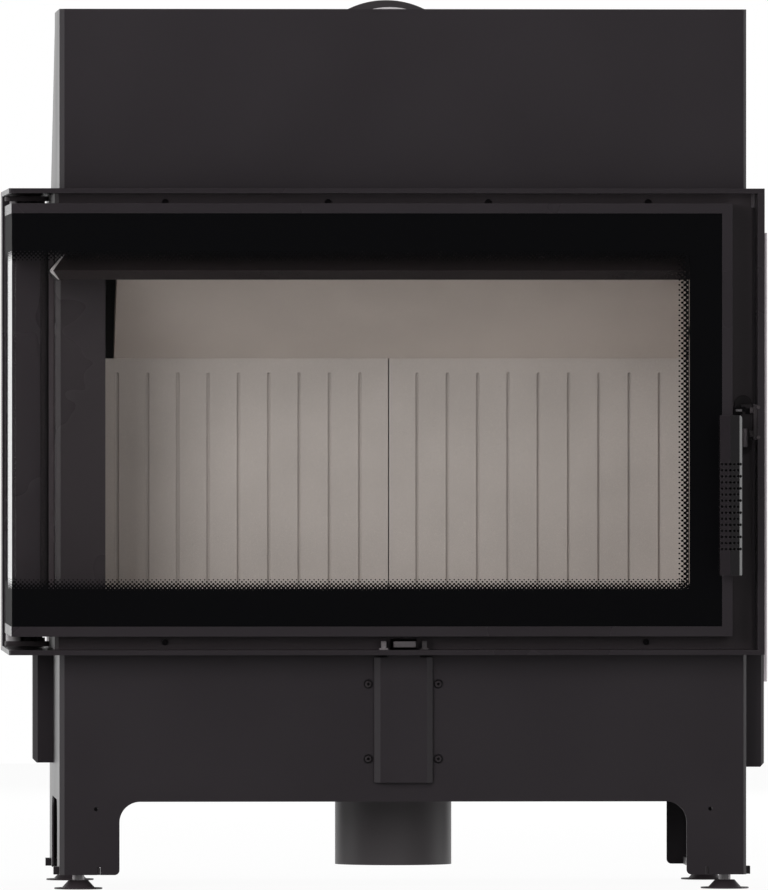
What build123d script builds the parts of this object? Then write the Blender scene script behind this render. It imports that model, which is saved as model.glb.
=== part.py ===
from build123d import *
import os
from math import cos, radians, sin, sqrt, tan

os.makedirs("parts", exist_ok=True)

# A steel fireplace insert with an L-shaped door, glass on the front and on the left.
# Millimetres. X runs to the right, Y to the back and Z up. The origin is on the floor,
# under the middle of the whole object.

# Casing
casing_width = 700.0
casing_depth = 420.0
casing_height = 896.5
casing_sheet = 2.0
left_bend = 5.0
right_bend = 3.0
hood_flat_depth = 200.0
hood_lip = 15.0
hood_skirt_depth = 60.0
hood_height = 183.1

# Legs and levelling feet
leg_clearance = 15.0
leg_width = 61.0
rear_leg_width = 57.0
rear_arch_rise = 15.0
front_leg_depth = 100.0
rear_leg_depth = 100.0
arch_height = 89.5
arch_radius = 21.0
leg_corner_radius = 5.0
foot_plate_thickness = 8.0
foot_plate_size = 40.5
foot_tab_reach = 5.5
foot_tab_width = 20.0
foot_inset_x = 20.0
foot_inset_front = 35.0
foot_inset_rear = 45.0
foot_disc_radius = 24.5
foot_disc_thickness = 1.5
foot_cone_base_radius = 17.0
foot_cone_top_radius = 10.0
foot_cone_height = 7.5
foot_stud_radius = 6.0
foot_stud_length = 40.0
thread_clearance = 0.05
plinth_hole_radius = 2.0
plinth_hole_inset = 37.0
plinth_hole_height = 82.0
leg_slot_width = 3.5
leg_slot_inset = 39.8

# Frame around the door
frame_bottom = 239.5
frame_thickness = 5.0
frame_upright_width = 7.0
frame_reach = 50.0
frame_overhang_left = 52.5
frame_overhang_right = 15.5
frame_wing_depth = 400.0
frame_corner_bevel = 2.0
post_width = 41.6
post_sheet = 2.0
post_setback = 327.0
wing_bracket_width = 21.0
wing_bracket_setback = 319.0
wing_bracket_depth = 30.0
wing_bracket_height = 115.5
wing_bracket_sheet = 3.0
wing_bracket_bevel = 4.0

# Duct and heat shield on the right
duct_thickness = 20.0
duct_setback = 80.0
duct_depth = 320.0
duct_bottom = 124.0
duct_sheet = 2.0
shield_thickness = 3.0
shield_gap_bottom = 87.0
shield_gap_top = 39.4

# Steel rim that the door closes against, and the opening in it
rim_thickness = 5.0
rim_bottom_rail = 45.5
rim_top_rail = 56.5
rim_right_rail = 38.0
rim_right_gap = 2.8
rim_side_opening = 250.0
column_setback = 160.0
column_width = 51.0
column_return = 28.0

# Folded air deflector over the glass
nose_hang = 21.9
nose_reach = 9.0
nose_rise = 20.3
nose_run = 16.2
nose_drop = 9.1
nose_lower_run = 8.1
nose_sheet = 4.0
nose_flange_height = 30.0
nose_flange_thickness = 3.0

# Firebox and its lining
shell_sheet = 3.0
rear_air_gap = 37.0
side_air_gap = 8.0
shell_floor_gap = 8.8
shell_top_gap = 18.4
rear_tile_width = 310.5
rear_tile_thickness = 30.0
side_tile_thickness = 26.0
floor_tile_thickness = 26.0
hearth_tile_count = 3
hearth_setback = 24.0
tile_gap = 1.0
smoke_height = 148.6
groove_count = 9
groove_pitch = 31.5
groove_width = 3.0
groove_depth = 3.0
groove_end_margin = 14.7
side_tile_rise = 64.0
baffle_thickness = 28.0
baffle_left_gap = 26.0
baffle_length = 156.0
baffle_angle = 38.0
baffle_bar_radius = 5.0
baffle_bar_inset = 6.0
smoke_opening_width = 420.0
smoke_opening_depth = 110.0
smoke_opening_inset = 40.0

# Flue
dome_width = 440.0
dome_height = 157.0
dome_clearance = 25.0
dome_front_run = 22.5
elbow_radius = 81.0
elbow_wall = 2.0
elbow_stub_length = 75.0
elbow_running_gap = 0.3
outlet_collar_radius = 90.0
outlet_collar_length = 45.0
outlet_reach = 35.0
swivel_flange_radius = 92.0
swivel_flange_thickness = 3.0
retaining_ring_radius = 104.0
retaining_ring_lip = 2.0
retaining_ring_clearance = 1.5
ring_screw_count = 6
ring_screw_turn = 30.0
ring_screw_head_radius = 4.0
ring_screw_head_height = 3.0
base_ring_wall = 3.0
base_ring_standing = 25.0

# Air supply and its control
spigot_radius = 60.0
spigot_wall = 1.5
spigot_length = 67.0
spigot_neck_radius = 55.0
spigot_bottom = 20.0
spigot_setback = 239.0
air_box_width = 200.0
air_box_length = 330.0
air_box_bottom = 94.0
air_box_gap = 1.5
air_box_sheet = 2.0
air_box_screw_spacing_x = 71.4
air_box_screw_spacing_z = 76.2
air_box_screw_height = 171.2
screw_head_radius = 4.5
screw_head_height = 3.5
screw_socket_radius = 2.0
screw_socket_depth = 2.0
cover_width = 59.6
cover_reach = 10.0
cover_bottom = 109.0
cover_bevel = 6.0
cover_sheet = 2.0
cover_notch_width = 13.5
cover_notch_height = 3.0
air_port_width = 100.0
air_port_length = 50.0
air_port_setback = 130.0
hearth_port_setback = 8.0
hearth_port_length = 12.0
shutter_overlap = 6.0
shutter_thickness = 2.0
shutter_gap = 0.3
guide_rail_sheet = 2.0
guide_rail_lip = 5.0
knob_width = 23.0
knob_height = 6.0
knob_gap = 2.7
knob_depth = 14.0
knob_setback = 10.0
rod_width = 12.0
rod_thickness = 4.0
rod_post_depth = 8.0
guide_width = 5.0
guide_spacing = 41.3
guide_height = 8.7
guide_depth = 16.0
guide_foot_width = 9.0
guide_sheet = 1.5

# Door
door_gap_left = 2.5
door_gap_front = 1.0
door_width = 732.9
door_gap_bottom = 13.8
door_gap_top = 10.2
door_rear_gap = 2.0
bar_height = 10.1
stile_width = 10.6
rear_stile_depth = 12.0
ledge_width = 10.0
door_depth = 37.0
bar_web = 3.0
glass_thickness = 4.0
glass_setback = 0.5
glass_bed = 1.5
ledge_thickness = 3.0
seal_width = 9.0
seal_gap = 0.3
hinge_inset = 9.0
hinge_pin_radius = 4.0
hinge_clearance = 0.05
hinge_boss = 20.0
hinge_plate_thickness = 5.0
hinge_plate_width = 18.0
hinge_plate_tail = 36.0
hinge_bolt_first = 15.0
hinge_bolt_pitch = 12.5
hinge_bolt_radius = 5.0
hinge_bolt_head = 3.8
hinge_socket_radius = 2.5
thrust_washer_radius = 8.0

# Handle and latch
grip_width = 22.9
grip_depth = 26.0
grip_hang = 139.5
grip_length = 162.4
grip_sheet = 2.5
grip_reach = 40.0
grip_offset = 1.75
grip_ridge_offset = 1.4
grip_left_drop = 1.0
grip_right_drop = 6.5
grip_bevel_width = 2.9
grip_bevel_drop = 5.0
grip_corner_radius = 3.0
grip_hole_radius = 1.3
grip_hole_rows = 15
grip_hole_row_pitch = 6.15
grip_hole_columns = 5
grip_hole_column_pitch = 4.1
grip_notch_inset = 1.9
grip_hole_margin = 26.8
spindle_height = 460.0
spindle_radius = 3.5
spindle_boss_radius = 7.0
spindle_block_width = 8.0
spindle_end_play = 0.5
cam_thickness = 3.0
cam_hub_radius = 5.2
cam_reach = 24.0
cam_arm_height = 9.0
strike_thickness = 4.0
strike_height = 36.0
strike_rise = 16.0
strike_reach = 15.0
strike_bolt_radius = 3.5
strike_bolt_head = 3.0
strike_bolt_pitch = 24.0
strike_setback = 4.0
strike_bolt_setback = 10.0

# Places worked out from the sizes
frame_top = casing_height - hood_height
opening_floor = frame_bottom + frame_thickness
opening_ceiling = frame_top - frame_thickness
overall_width = frame_overhang_left + casing_width + duct_thickness + shield_thickness
overall_depth = grip_reach + frame_reach + casing_depth + outlet_reach
frame_left = -overall_width / 2
casing_left = frame_left + frame_overhang_left
casing_right = casing_left + casing_width
casing_middle = casing_left + casing_width / 2
frame_right = casing_right + frame_overhang_right
front_plane = -overall_depth / 2 + grip_reach
casing_front = front_plane + frame_reach
casing_rear = casing_front + casing_depth
hood_flat_rear = casing_front + hood_flat_depth
slope_top = casing_height - hood_lip
slope_foot = slope_top - (casing_rear - hood_flat_rear)
skirt_front = casing_rear - hood_skirt_depth
post_front = front_plane + post_setback
wing_rear = front_plane + frame_wing_depth
door_bottom = opening_floor + door_gap_bottom
door_top = opening_ceiling - door_gap_top
knob_bottom = opening_floor + knob_gap
shell_floor_height = knob_bottom + knob_height + shell_floor_gap
shell_top_height = opening_ceiling - shell_top_gap
rear_tile_top = shell_top_height - smoke_height
side_tile_top = rear_tile_top + side_tile_rise
air_box_top = frame_bottom - air_box_gap


def block(low, high, mode=Mode.ADD):
    """A square-edged block between two opposite corners."""
    with Locations(low):
        Box(*(top - bottom for bottom, top in zip(low, high)), align=Align.MIN, mode=mode)


def save(piece, name):
    """Names the finished piece and writes it to its own file."""
    piece.label = name
    export_step(piece, f"parts/{name}.step")


def slope_inset(inset):
    """Level at which an inset copy of the rear slope meets an inset copy of the lip."""
    return slope_top - inset * tan(radians(22.5))


# Hood: folded sheet, flat on top, with a rear face that slopes at 45 degrees
with BuildPart() as hood_casing:
    with BuildSketch(Plane.YZ.offset(casing_left)):
        with BuildLine():
            Polyline(
                (casing_front, opening_ceiling),
                (casing_front, casing_height),
                (hood_flat_rear, casing_height),
                (hood_flat_rear, slope_top),
                (casing_rear, slope_foot),
                (skirt_front, slope_foot),
                (skirt_front, opening_ceiling),
                close=True,
            )
        make_face()
    extrude(amount=casing_width)
    upright_edges = hood_casing.edges().filter_by(Axis.Z).group_by(Axis.Y)[0].sort_by(Axis.X)
    chamfer(upright_edges[0], left_bend)
    upright_edges = hood_casing.edges().filter_by(Axis.Z).group_by(Axis.Y)[0].sort_by(Axis.X)
    chamfer(upright_edges[-1], right_bend)
    slope_shift = casing_sheet * sqrt(2)
    with BuildSketch(Plane.YZ.offset(casing_left + casing_sheet)):
        with BuildLine():
            Polyline(
                (casing_front + left_bend, slope_foot),
                (casing_front + left_bend, casing_height - casing_sheet),
                (hood_flat_rear - casing_sheet, casing_height - casing_sheet),
                (hood_flat_rear - casing_sheet, slope_inset(casing_sheet)),
                (casing_rear - slope_shift, slope_foot),
                close=True,
            )
        make_face()
    extrude(amount=casing_width - 2 * casing_sheet, mode=Mode.SUBTRACT)
    block(
        (casing_left + left_bend, casing_front + casing_sheet, slope_foot),
        (casing_right - left_bend, casing_front + left_bend, casing_height - casing_sheet),
        mode=Mode.SUBTRACT,
    )
    # The flue passes through the middle of the slope
    slope_middle_y = (hood_flat_rear + casing_rear) / 2
    slope_middle_z = (slope_top + slope_foot) / 2
    flue_seat = Plane(
        origin=(casing_middle, slope_middle_y, slope_middle_z),
        x_dir=(1, 0, 0),
        z_dir=(0, 1, 1),
    )
    with BuildSketch(flue_seat.offset(elbow_wall)):
        Circle(elbow_radius - elbow_wall)
    extrude(amount=-(2 * elbow_wall + casing_sheet), mode=Mode.SUBTRACT)
save(hood_casing.part, "hood_casing")

# Base: folded sheet with a leg at each corner and an arch in each face
with BuildPart() as base_casing:
    block((casing_left, casing_front, leg_clearance), (casing_right, casing_rear, opening_floor))
    upright_edges = base_casing.edges().filter_by(Axis.Z).group_by(Axis.Y)[0].sort_by(Axis.X)
    chamfer(upright_edges[0], left_bend)
    upright_edges = base_casing.edges().filter_by(Axis.Z).group_by(Axis.Y)[0].sort_by(Axis.X)
    chamfer(upright_edges[-1], right_bend)
    block(
        (casing_left + casing_sheet, casing_front + left_bend, leg_clearance),
        (casing_right - casing_sheet, casing_rear - casing_sheet, opening_floor),
        mode=Mode.SUBTRACT,
    )
    block(
        (casing_left + left_bend, casing_front + casing_sheet, leg_clearance),
        (casing_right - left_bend, casing_front + left_bend, opening_floor),
        mode=Mode.SUBTRACT,
    )
    arch_width = casing_width - 2 * leg_width
    with BuildSketch(Plane.XZ.offset(-casing_rear)):
        with Locations((casing_middle, arch_height)):
            Rectangle(arch_width, 2 * (arch_height - leg_clearance), align=(Align.CENTER, Align.MAX))
        fillet(vertices().group_by(Axis.Y)[-1], arch_radius)
    extrude(amount=casing_depth, mode=Mode.SUBTRACT)
    # The arch in the back is wider and higher
    block(
        (casing_left + rear_leg_width, casing_rear - casing_sheet, leg_clearance),
        (casing_right - rear_leg_width, casing_rear, arch_height + rear_arch_rise),
        mode=Mode.SUBTRACT,
    )
    side_arch_front = casing_front + front_leg_depth
    side_arch_rear = casing_rear - rear_leg_depth
    with BuildSketch(Plane.YZ.offset(casing_left)):
        with Locations(((side_arch_front + side_arch_rear) / 2, arch_height)):
            Rectangle(
                side_arch_rear - side_arch_front,
                2 * (arch_height - leg_clearance),
                align=(Align.CENTER, Align.MAX),
            )
        fillet(vertices().group_by(Axis.Y)[-1], arch_radius)
    extrude(amount=casing_width, mode=Mode.SUBTRACT)
    inner_leg_reach = casing_width / 2 - rear_leg_width + leg_corner_radius
    inner_leg_edges = (
        base_casing.edges()
        .filter_by(Axis.Y)
        .group_by(Axis.Z)[0]
        .filter_by(lambda edge: edge.length < 2 * casing_sheet)
        .filter_by(lambda edge: abs(edge.center().X - casing_middle) < inner_leg_reach)
    )
    fillet(inner_leg_edges, leg_corner_radius)
    # Notches for the tabs of the foot plates, small fixing holes and a drain slot in each leg
    foot_front_y = casing_front + foot_inset_front
    foot_rear_y = casing_rear - foot_inset_rear
    for foot_y in (foot_front_y, foot_rear_y):
        for side_x in (casing_left, casing_right - casing_sheet):
            block(
                (side_x, foot_y - foot_tab_width / 2, leg_clearance),
                (side_x + casing_sheet, foot_y + foot_tab_width / 2, leg_clearance + foot_plate_thickness),
                mode=Mode.SUBTRACT,
            )
    plinth_hole_span = casing_width - 2 * plinth_hole_inset
    with BuildSketch(Plane.XZ.offset(-casing_front - casing_sheet)):
        with Locations((casing_middle, plinth_hole_height)):
            with GridLocations(plinth_hole_span, 0, 2, 1):
                Circle(plinth_hole_radius)
    extrude(amount=casing_sheet, mode=Mode.SUBTRACT)
    for slot_x in (casing_left + leg_slot_inset, casing_right - leg_slot_inset):
        block(
            (slot_x - leg_slot_width / 2, casing_front, leg_clearance),
            (slot_x + leg_slot_width / 2, casing_front + casing_sheet, leg_clearance + foot_plate_thickness),
            mode=Mode.SUBTRACT,
        )
save(base_casing.part, "base_casing")

# Middle of the casing: right side, back, and the column behind the left glass
skirt_outline = [
    (casing_front, opening_floor),
    (casing_front, opening_ceiling),
    (skirt_front, opening_ceiling),
    (skirt_front, slope_foot),
    (casing_rear, slope_foot),
    (casing_rear, opening_floor),
]
with BuildPart() as side_panel_right:
    with BuildSketch(Plane.YZ.offset(casing_right - casing_sheet)):
        with BuildLine():
            Polyline(*skirt_outline, close=True)
        make_face()
    extrude(amount=casing_sheet)
save(side_panel_right.part, "side_panel_right")

with BuildPart() as rear_panel:
    block(
        (casing_left + casing_sheet, casing_rear - casing_sheet, opening_floor),
        (casing_right - casing_sheet, casing_rear, slope_foot),
    )
save(rear_panel.part, "rear_panel")

column_front = casing_front + column_setback
with BuildPart() as corner_column:
    with BuildSketch(Plane.XY.offset(opening_floor)):
        with BuildLine():
            Polyline(
                (casing_left, casing_rear),
                (casing_left, column_front + left_bend),
                (casing_left + left_bend, column_front),
                (casing_left + column_width, column_front),
                (casing_left + column_width, column_front + column_return),
                (casing_left + column_width - casing_sheet, column_front + column_return),
                (casing_left + column_width - casing_sheet, column_front + casing_sheet),
                (casing_left + left_bend + casing_sheet / 2, column_front + casing_sheet),
                (casing_left + casing_sheet, column_front + left_bend + casing_sheet / 2),
                (casing_left + casing_sheet, casing_rear),
                close=True,
            )
        make_face()
    extrude(amount=opening_ceiling - opening_floor)
    block(
        (casing_left, skirt_front, slope_foot),
        (casing_left + casing_sheet, casing_rear, opening_ceiling),
        mode=Mode.SUBTRACT,
    )
save(corner_column.part, "corner_column")


# Frame: a top and a bottom flange that wrap round the left side, an upright on the right
# and a post at the back of the left side
def frame_flange(bottom):
    """The outline of a flange, drawn on its lower face and raised to its thickness."""
    with BuildSketch(Plane.XY.offset(bottom)) as outline:
        with BuildLine():
            Polyline(
                (frame_left, front_plane),
                (frame_right, front_plane),
                (frame_right, casing_front),
                (casing_left, casing_front),
                (casing_left, wing_rear),
                (frame_left, wing_rear),
                close=True,
            )
        make_face()
        chamfer(vertices().sort_by_distance((frame_left, front_plane, bottom))[0], frame_corner_bevel)
    extrude(outline.sketch, amount=frame_thickness)


door_left = frame_left + door_gap_left
door_right = door_left + door_width
door_front = front_plane + door_gap_front
door_rear = post_front - door_rear_gap
hinge_x = door_left + hinge_inset
hinge_y = door_rear - hinge_inset
bolt_places = [(hinge_x + hinge_bolt_first + step * hinge_bolt_pitch, hinge_y) for step in range(2)]

with BuildPart() as frame_top_flange:
    frame_flange(opening_ceiling)
save(frame_top_flange.part, "frame_top_flange")

with BuildPart() as frame_bottom_flange:
    frame_flange(frame_bottom)
save(frame_bottom_flange.part, "frame_bottom_flange")

upright_left = frame_right - frame_upright_width
with BuildPart() as frame_right_upright:
    block((upright_left, front_plane, opening_floor), (frame_right, casing_front, opening_ceiling))
save(frame_right_upright.part, "frame_right_upright")

with BuildPart() as rear_left_post:
    with BuildSketch(Plane.XY.offset(opening_floor)):
        with BuildLine():
            Polyline(
                (frame_left, wing_rear),
                (frame_left, post_front),
                (frame_left + post_width, post_front),
                (frame_left + post_width, post_front + post_sheet),
                (frame_left + post_sheet, post_front + post_sheet),
                (frame_left + post_sheet, wing_rear),
                close=True,
            )
        make_face()
    extrude(amount=opening_ceiling - opening_floor)
save(rear_left_post.part, "rear_left_post")

with BuildPart() as left_wing_bracket:
    bracket_left = casing_left - wing_bracket_width
    bracket_bottom = frame_bottom - wing_bracket_height
    bracket_front = front_plane + wing_bracket_setback
    bracket_rear = bracket_front + wing_bracket_depth
    block((bracket_left, bracket_front, bracket_bottom), (casing_left, bracket_rear, frame_bottom))
    left_edges = left_wing_bracket.edges().filter_by(Axis.Z).group_by(Axis.X)[0]
    chamfer(left_edges.sort_by(Axis.Y)[0], left_bend)
    lower_edge = left_wing_bracket.edges().group_by(Axis.Z)[0].filter_by(Axis.Y).sort_by(Axis.X)[0]
    chamfer(lower_edge, wing_bracket_bevel)
    block(
        (bracket_left + left_bend, bracket_front + wing_bracket_sheet, bracket_bottom),
        (casing_left, bracket_rear, frame_bottom),
        mode=Mode.SUBTRACT,
    )
save(left_wing_bracket.part, "left_wing_bracket")

# Air duct on the right side, with a heat shield over it
duct_front = front_plane + duct_setback
duct_right = casing_right + duct_thickness
duct_top = opening_ceiling
with BuildPart() as right_side_duct:
    block((casing_right, duct_front, duct_bottom), (duct_right, duct_front + duct_depth, duct_top))
    outer_edges = right_side_duct.edges().filter_by(Axis.Z).group_by(Axis.X)[-1]
    chamfer(outer_edges, right_bend)
    lower_edge = right_side_duct.edges().group_by(Axis.Z)[0].filter_by(Axis.Y).sort_by(Axis.X)[-1]
    chamfer(lower_edge, wing_bracket_bevel)
    block(
        (casing_right, duct_front + duct_sheet, duct_bottom + duct_sheet),
        (
            duct_right - duct_sheet - right_bend,
            duct_front + duct_depth - duct_sheet,
            duct_top - duct_sheet,
        ),
        mode=Mode.SUBTRACT,
    )
save(right_side_duct.part, "right_side_duct")

with BuildPart() as right_heat_shield:
    block(
        (duct_right, duct_front + right_bend, duct_bottom + shield_gap_bottom),
        (
            duct_right + shield_thickness,
            duct_front + duct_depth - right_bend,
            duct_top - shield_gap_top,
        ),
    )
save(right_heat_shield.part, "right_heat_shield")

# Rim: the steel face that the door seals on, open at the glass corner
rim_front = casing_front - rim_thickness
rim_left = casing_left - rim_thickness
rim_opening_bottom = opening_floor + rim_bottom_rail
rim_opening_top = opening_ceiling - rim_top_rail
rim_opening_right = casing_right - rim_right_rail
rim_side_rear = casing_front + rim_side_opening
control_left = casing_middle - knob_width / 2 - 2
control_right = casing_middle + knob_width / 2 + 2
with BuildPart() as door_rim:
    block(
        (rim_left, rim_front, opening_floor),
        (upright_left - rim_right_gap, casing_front, opening_ceiling),
    )
    block((rim_left, casing_front, opening_floor), (casing_left, wing_rear, opening_ceiling))
    rim_corner = door_rim.edges().filter_by(Axis.Z).sort_by_distance((rim_left, rim_front, opening_floor))[0]
    chamfer(rim_corner, rim_thickness - 1)
    block(
        (rim_left, rim_front, rim_opening_bottom),
        (rim_opening_right, casing_front, rim_opening_top),
        mode=Mode.SUBTRACT,
    )
    block(
        (rim_left, casing_front, rim_opening_bottom),
        (casing_left, rim_side_rear, rim_opening_top),
        mode=Mode.SUBTRACT,
    )
    block(
        (control_left, rim_front, opening_floor),
        (control_right, casing_front, knob_bottom + knob_height + 2),
        mode=Mode.SUBTRACT,
    )
save(door_rim.part, "door_rim")

# Deflector: a folded nose above the glass that steers air down the panes, mitred at the corner
with BuildPart() as lintel_deflector:
    nose_tip_height = rim_opening_top - nose_hang
    tip_y = casing_front - nose_reach
    tip_x = casing_left - nose_reach
    with BuildLine() as nose_path:
        Polyline(
            (rim_opening_right, tip_y, nose_tip_height),
            (tip_x, tip_y, nose_tip_height),
            (tip_x, column_front, nose_tip_height),
        )
    nose_section = Plane(
        origin=(rim_opening_right, tip_y, nose_tip_height), x_dir=(0, 1, 0), z_dir=(-1, 0, 0)
    )
    with BuildSketch(nose_section):
        with BuildLine():
            Polyline(
                (nose_reach, -nose_flange_height - nose_flange_thickness),
                (nose_reach, -nose_flange_height),
                (nose_run, -nose_flange_height),
                (nose_run, -nose_rise),
                (0, 0),
                (nose_lower_run, nose_drop),
                (nose_lower_run + nose_sheet, nose_drop),
                (nose_sheet, 0),
                (nose_run + nose_sheet, -nose_rise),
                (nose_run + nose_sheet, -nose_flange_height - nose_flange_thickness),
                close=True,
            )
        make_face()
    sweep(path=nose_path.line, transition=Transition.RIGHT)
save(lintel_deflector.part, "lintel_deflector")

# Firebox: welded plate, open at the front and on the left in front of the column
shell_right = casing_right - casing_sheet - side_air_gap
shell_left = casing_left + casing_sheet + side_air_gap
shell_rear = casing_rear - rear_air_gap
shell_inner_rear = shell_rear - shell_sheet
shell_inner_right = shell_right - shell_sheet
shell_inner_left = shell_left + shell_sheet
shell_floor_top = shell_floor_height + shell_sheet
lining_rear = shell_inner_rear - rear_tile_thickness
with BuildPart() as firebox_shell:
    block(
        (casing_left + casing_sheet, casing_front, shell_floor_height),
        (shell_right, shell_rear, shell_floor_top),
    )
    block(
        (casing_left + casing_sheet, casing_front, shell_top_height),
        (shell_right, shell_rear, shell_top_height + shell_sheet),
    )
    block((shell_left, shell_inner_rear, shell_floor_height), (shell_right, shell_rear, shell_top_height))
    block((shell_inner_right, casing_front, shell_floor_height), (shell_right, shell_rear, shell_top_height))
    block(
        (shell_left, column_front + column_return, shell_floor_height),
        (shell_inner_left, shell_rear, shell_top_height),
    )
    # The plates stop short of the column's folded sheet
    for plate_bottom in (shell_floor_height, shell_top_height):
        block(
            (casing_left + casing_sheet, column_front - 1, plate_bottom),
            (casing_left + column_width + 1, column_front + column_return + 1, plate_bottom + shell_sheet),
            mode=Mode.SUBTRACT,
        )
        block(
            (casing_left + casing_sheet, column_front, plate_bottom),
            (shell_left, shell_rear, plate_bottom + shell_sheet),
            mode=Mode.SUBTRACT,
        )
    smoke_rear = shell_inner_rear - smoke_opening_inset
    block(
        (casing_middle - smoke_opening_width / 2, smoke_rear - smoke_opening_depth, shell_top_height),
        (casing_middle + smoke_opening_width / 2, smoke_rear, shell_top_height + shell_sheet),
        mode=Mode.SUBTRACT,
    )
    # Combustion air rises through a port in front of the hearth tiles
    block(
        (casing_middle - air_port_width / 2, casing_front + hearth_port_setback, shell_floor_height),
        (
            casing_middle + air_port_width / 2,
            casing_front + hearth_port_setback + hearth_port_length,
            shell_floor_top,
        ),
        mode=Mode.SUBTRACT,
    )
save(firebox_shell.part, "firebox_shell")

# Dome: gathers the smoke and leads it to the flue ring
with BuildPart() as smoke_dome:
    dome_bottom = shell_top_height + shell_sheet
    dome_top = dome_bottom + dome_height
    dome_slope_sum = hood_flat_rear + slope_top - dome_clearance * sqrt(2)
    dome_front = dome_slope_sum - dome_top - dome_front_run
    with BuildSketch(Plane.YZ.offset(casing_middle - dome_width / 2)):
        with BuildLine():
            Polyline(
                (dome_front, dome_bottom),
                (dome_front, dome_top),
                (dome_slope_sum - dome_top, dome_top),
                (dome_slope_sum - dome_bottom, dome_bottom),
                close=True,
            )
        make_face()
    extrude(amount=dome_width)
    dome_inner_sum = dome_slope_sum - shell_sheet * sqrt(2)
    with BuildSketch(Plane.YZ.offset(casing_middle - dome_width / 2 + shell_sheet)):
        with BuildLine():
            Polyline(
                (dome_front + shell_sheet, dome_bottom),
                (dome_front + shell_sheet, dome_top - shell_sheet),
                (dome_inner_sum - dome_top + shell_sheet, dome_top - shell_sheet),
                (dome_inner_sum - dome_bottom, dome_bottom),
                close=True,
            )
        make_face()
    extrude(amount=dome_width - 2 * shell_sheet, mode=Mode.SUBTRACT)
    base_ring_radius = elbow_radius - elbow_wall - elbow_running_gap
    with BuildSketch(flue_seat.offset(-dome_clearance)):
        Circle(base_ring_radius - base_ring_wall)
    extrude(amount=-2 * shell_sheet, mode=Mode.SUBTRACT)
save(smoke_dome.part, "smoke_dome")

# Flue: a ring on the dome, and an elbow that turns on it about the slope's normal
with BuildPart() as flue_base_ring:
    with BuildSketch(flue_seat.offset(-dome_clearance)):
        Circle(base_ring_radius)
        Circle(base_ring_radius - base_ring_wall, mode=Mode.SUBTRACT)
    extrude(amount=dome_clearance + base_ring_standing)
save(flue_base_ring.part, "flue_base_ring")

slope_normal = flue_seat.z_dir
elbow_foot = flue_seat.offset(elbow_running_gap)
elbow_knee = flue_seat.origin + slope_normal * elbow_stub_length
outlet_end_y = casing_rear + outlet_reach
outlet_start_y = outlet_end_y - outlet_collar_length
with BuildLine() as elbow_path:
    Polyline(elbow_foot.origin, elbow_knee, (elbow_knee.X, outlet_end_y, elbow_knee.Z))
elbow_mitre = Plane(origin=elbow_knee, x_dir=(1, 0, 0), z_dir=slope_normal + Vector(0, 1, 0))


def elbow_tube(keep):
    """The tube on one side of the elbow's mitred seam."""
    with BuildSketch(elbow_foot) as outline:
        Circle(elbow_radius)
        Circle(elbow_radius - elbow_wall, mode=Mode.SUBTRACT)
    sweep(outline.sketch, path=elbow_path.line, transition=Transition.RIGHT)
    split(bisect_by=elbow_mitre, keep=keep)


with BuildPart() as flue_elbow:
    elbow_tube(Keep.BOTTOM)
    with BuildSketch(elbow_foot):
        Circle(swivel_flange_radius)
        Circle(elbow_radius - elbow_wall, mode=Mode.SUBTRACT)
    extrude(amount=swivel_flange_thickness)
save(flue_elbow.part, "flue_elbow")

with BuildPart() as flue_outlet_pipe:
    elbow_tube(Keep.TOP)
    with BuildSketch(Plane.XZ.offset(-outlet_start_y)):
        with Locations((elbow_knee.X, elbow_knee.Z)):
            Circle(outlet_collar_radius)
            Circle(elbow_radius - elbow_wall, mode=Mode.SUBTRACT)
    extrude(amount=-outlet_collar_length)
    with BuildSketch(Plane.XZ.offset(-outlet_end_y)):
        with Locations((elbow_knee.X, elbow_knee.Z)):
            Circle(outlet_collar_radius - elbow_wall)
    extrude(amount=outlet_collar_length - elbow_wall, mode=Mode.SUBTRACT)
save(flue_outlet_pipe.part, "flue_outlet_pipe")

ring_top = swivel_flange_thickness + 2 * elbow_running_gap + retaining_ring_lip
with BuildPart() as flue_retaining_ring:
    with BuildSketch(flue_seat):
        Circle(retaining_ring_radius)
        Circle(elbow_radius + retaining_ring_clearance, mode=Mode.SUBTRACT)
    extrude(amount=ring_top)
    with BuildSketch(flue_seat):
        Circle(swivel_flange_radius + elbow_running_gap)
    extrude(amount=ring_top - retaining_ring_lip, mode=Mode.SUBTRACT)
save(flue_retaining_ring.part, "flue_retaining_ring")

ring_screw_circle = (swivel_flange_radius + retaining_ring_radius) / 2
with BuildPart() as flue_ring_screws:
    with BuildSketch(flue_seat.offset(ring_top)):
        with PolarLocations(ring_screw_circle, ring_screw_count, start_angle=ring_screw_turn):
            Circle(ring_screw_head_radius)
            Circle(ring_screw_head_radius / 2, mode=Mode.SUBTRACT)
    extrude(amount=ring_screw_head_height)
    with BuildSketch(flue_seat.offset(ring_top)):
        with PolarLocations(ring_screw_circle, ring_screw_count, start_angle=ring_screw_turn):
            Circle(ring_screw_head_radius / 2)
    extrude(amount=ring_screw_head_height / 2)
save(flue_ring_screws.part, "flue_ring_screws")

# Lining: two grooved tiles on the back, plain tiles on the sides and hearth
lining_floor = shell_floor_top + floor_tile_thickness


def rear_tile(left):
    """A grooved tile: upright grooves with round ends, cut into its front face."""
    block((left, lining_rear, lining_floor), (left + rear_tile_width, shell_inner_rear, rear_tile_top))
    groove_length = rear_tile_top - lining_floor - 2 * groove_end_margin
    groove_middle = (rear_tile_top + lining_floor) / 2
    with BuildSketch(Plane.XZ.offset(-lining_rear)) as grooves:
        with Locations((left + rear_tile_width / 2, groove_middle)):
            with GridLocations(groove_pitch, 0, groove_count, 1):
                SlotOverall(groove_length, groove_width, rotation=90)
    extrude(grooves.sketch, amount=-groove_depth, mode=Mode.SUBTRACT)


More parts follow.
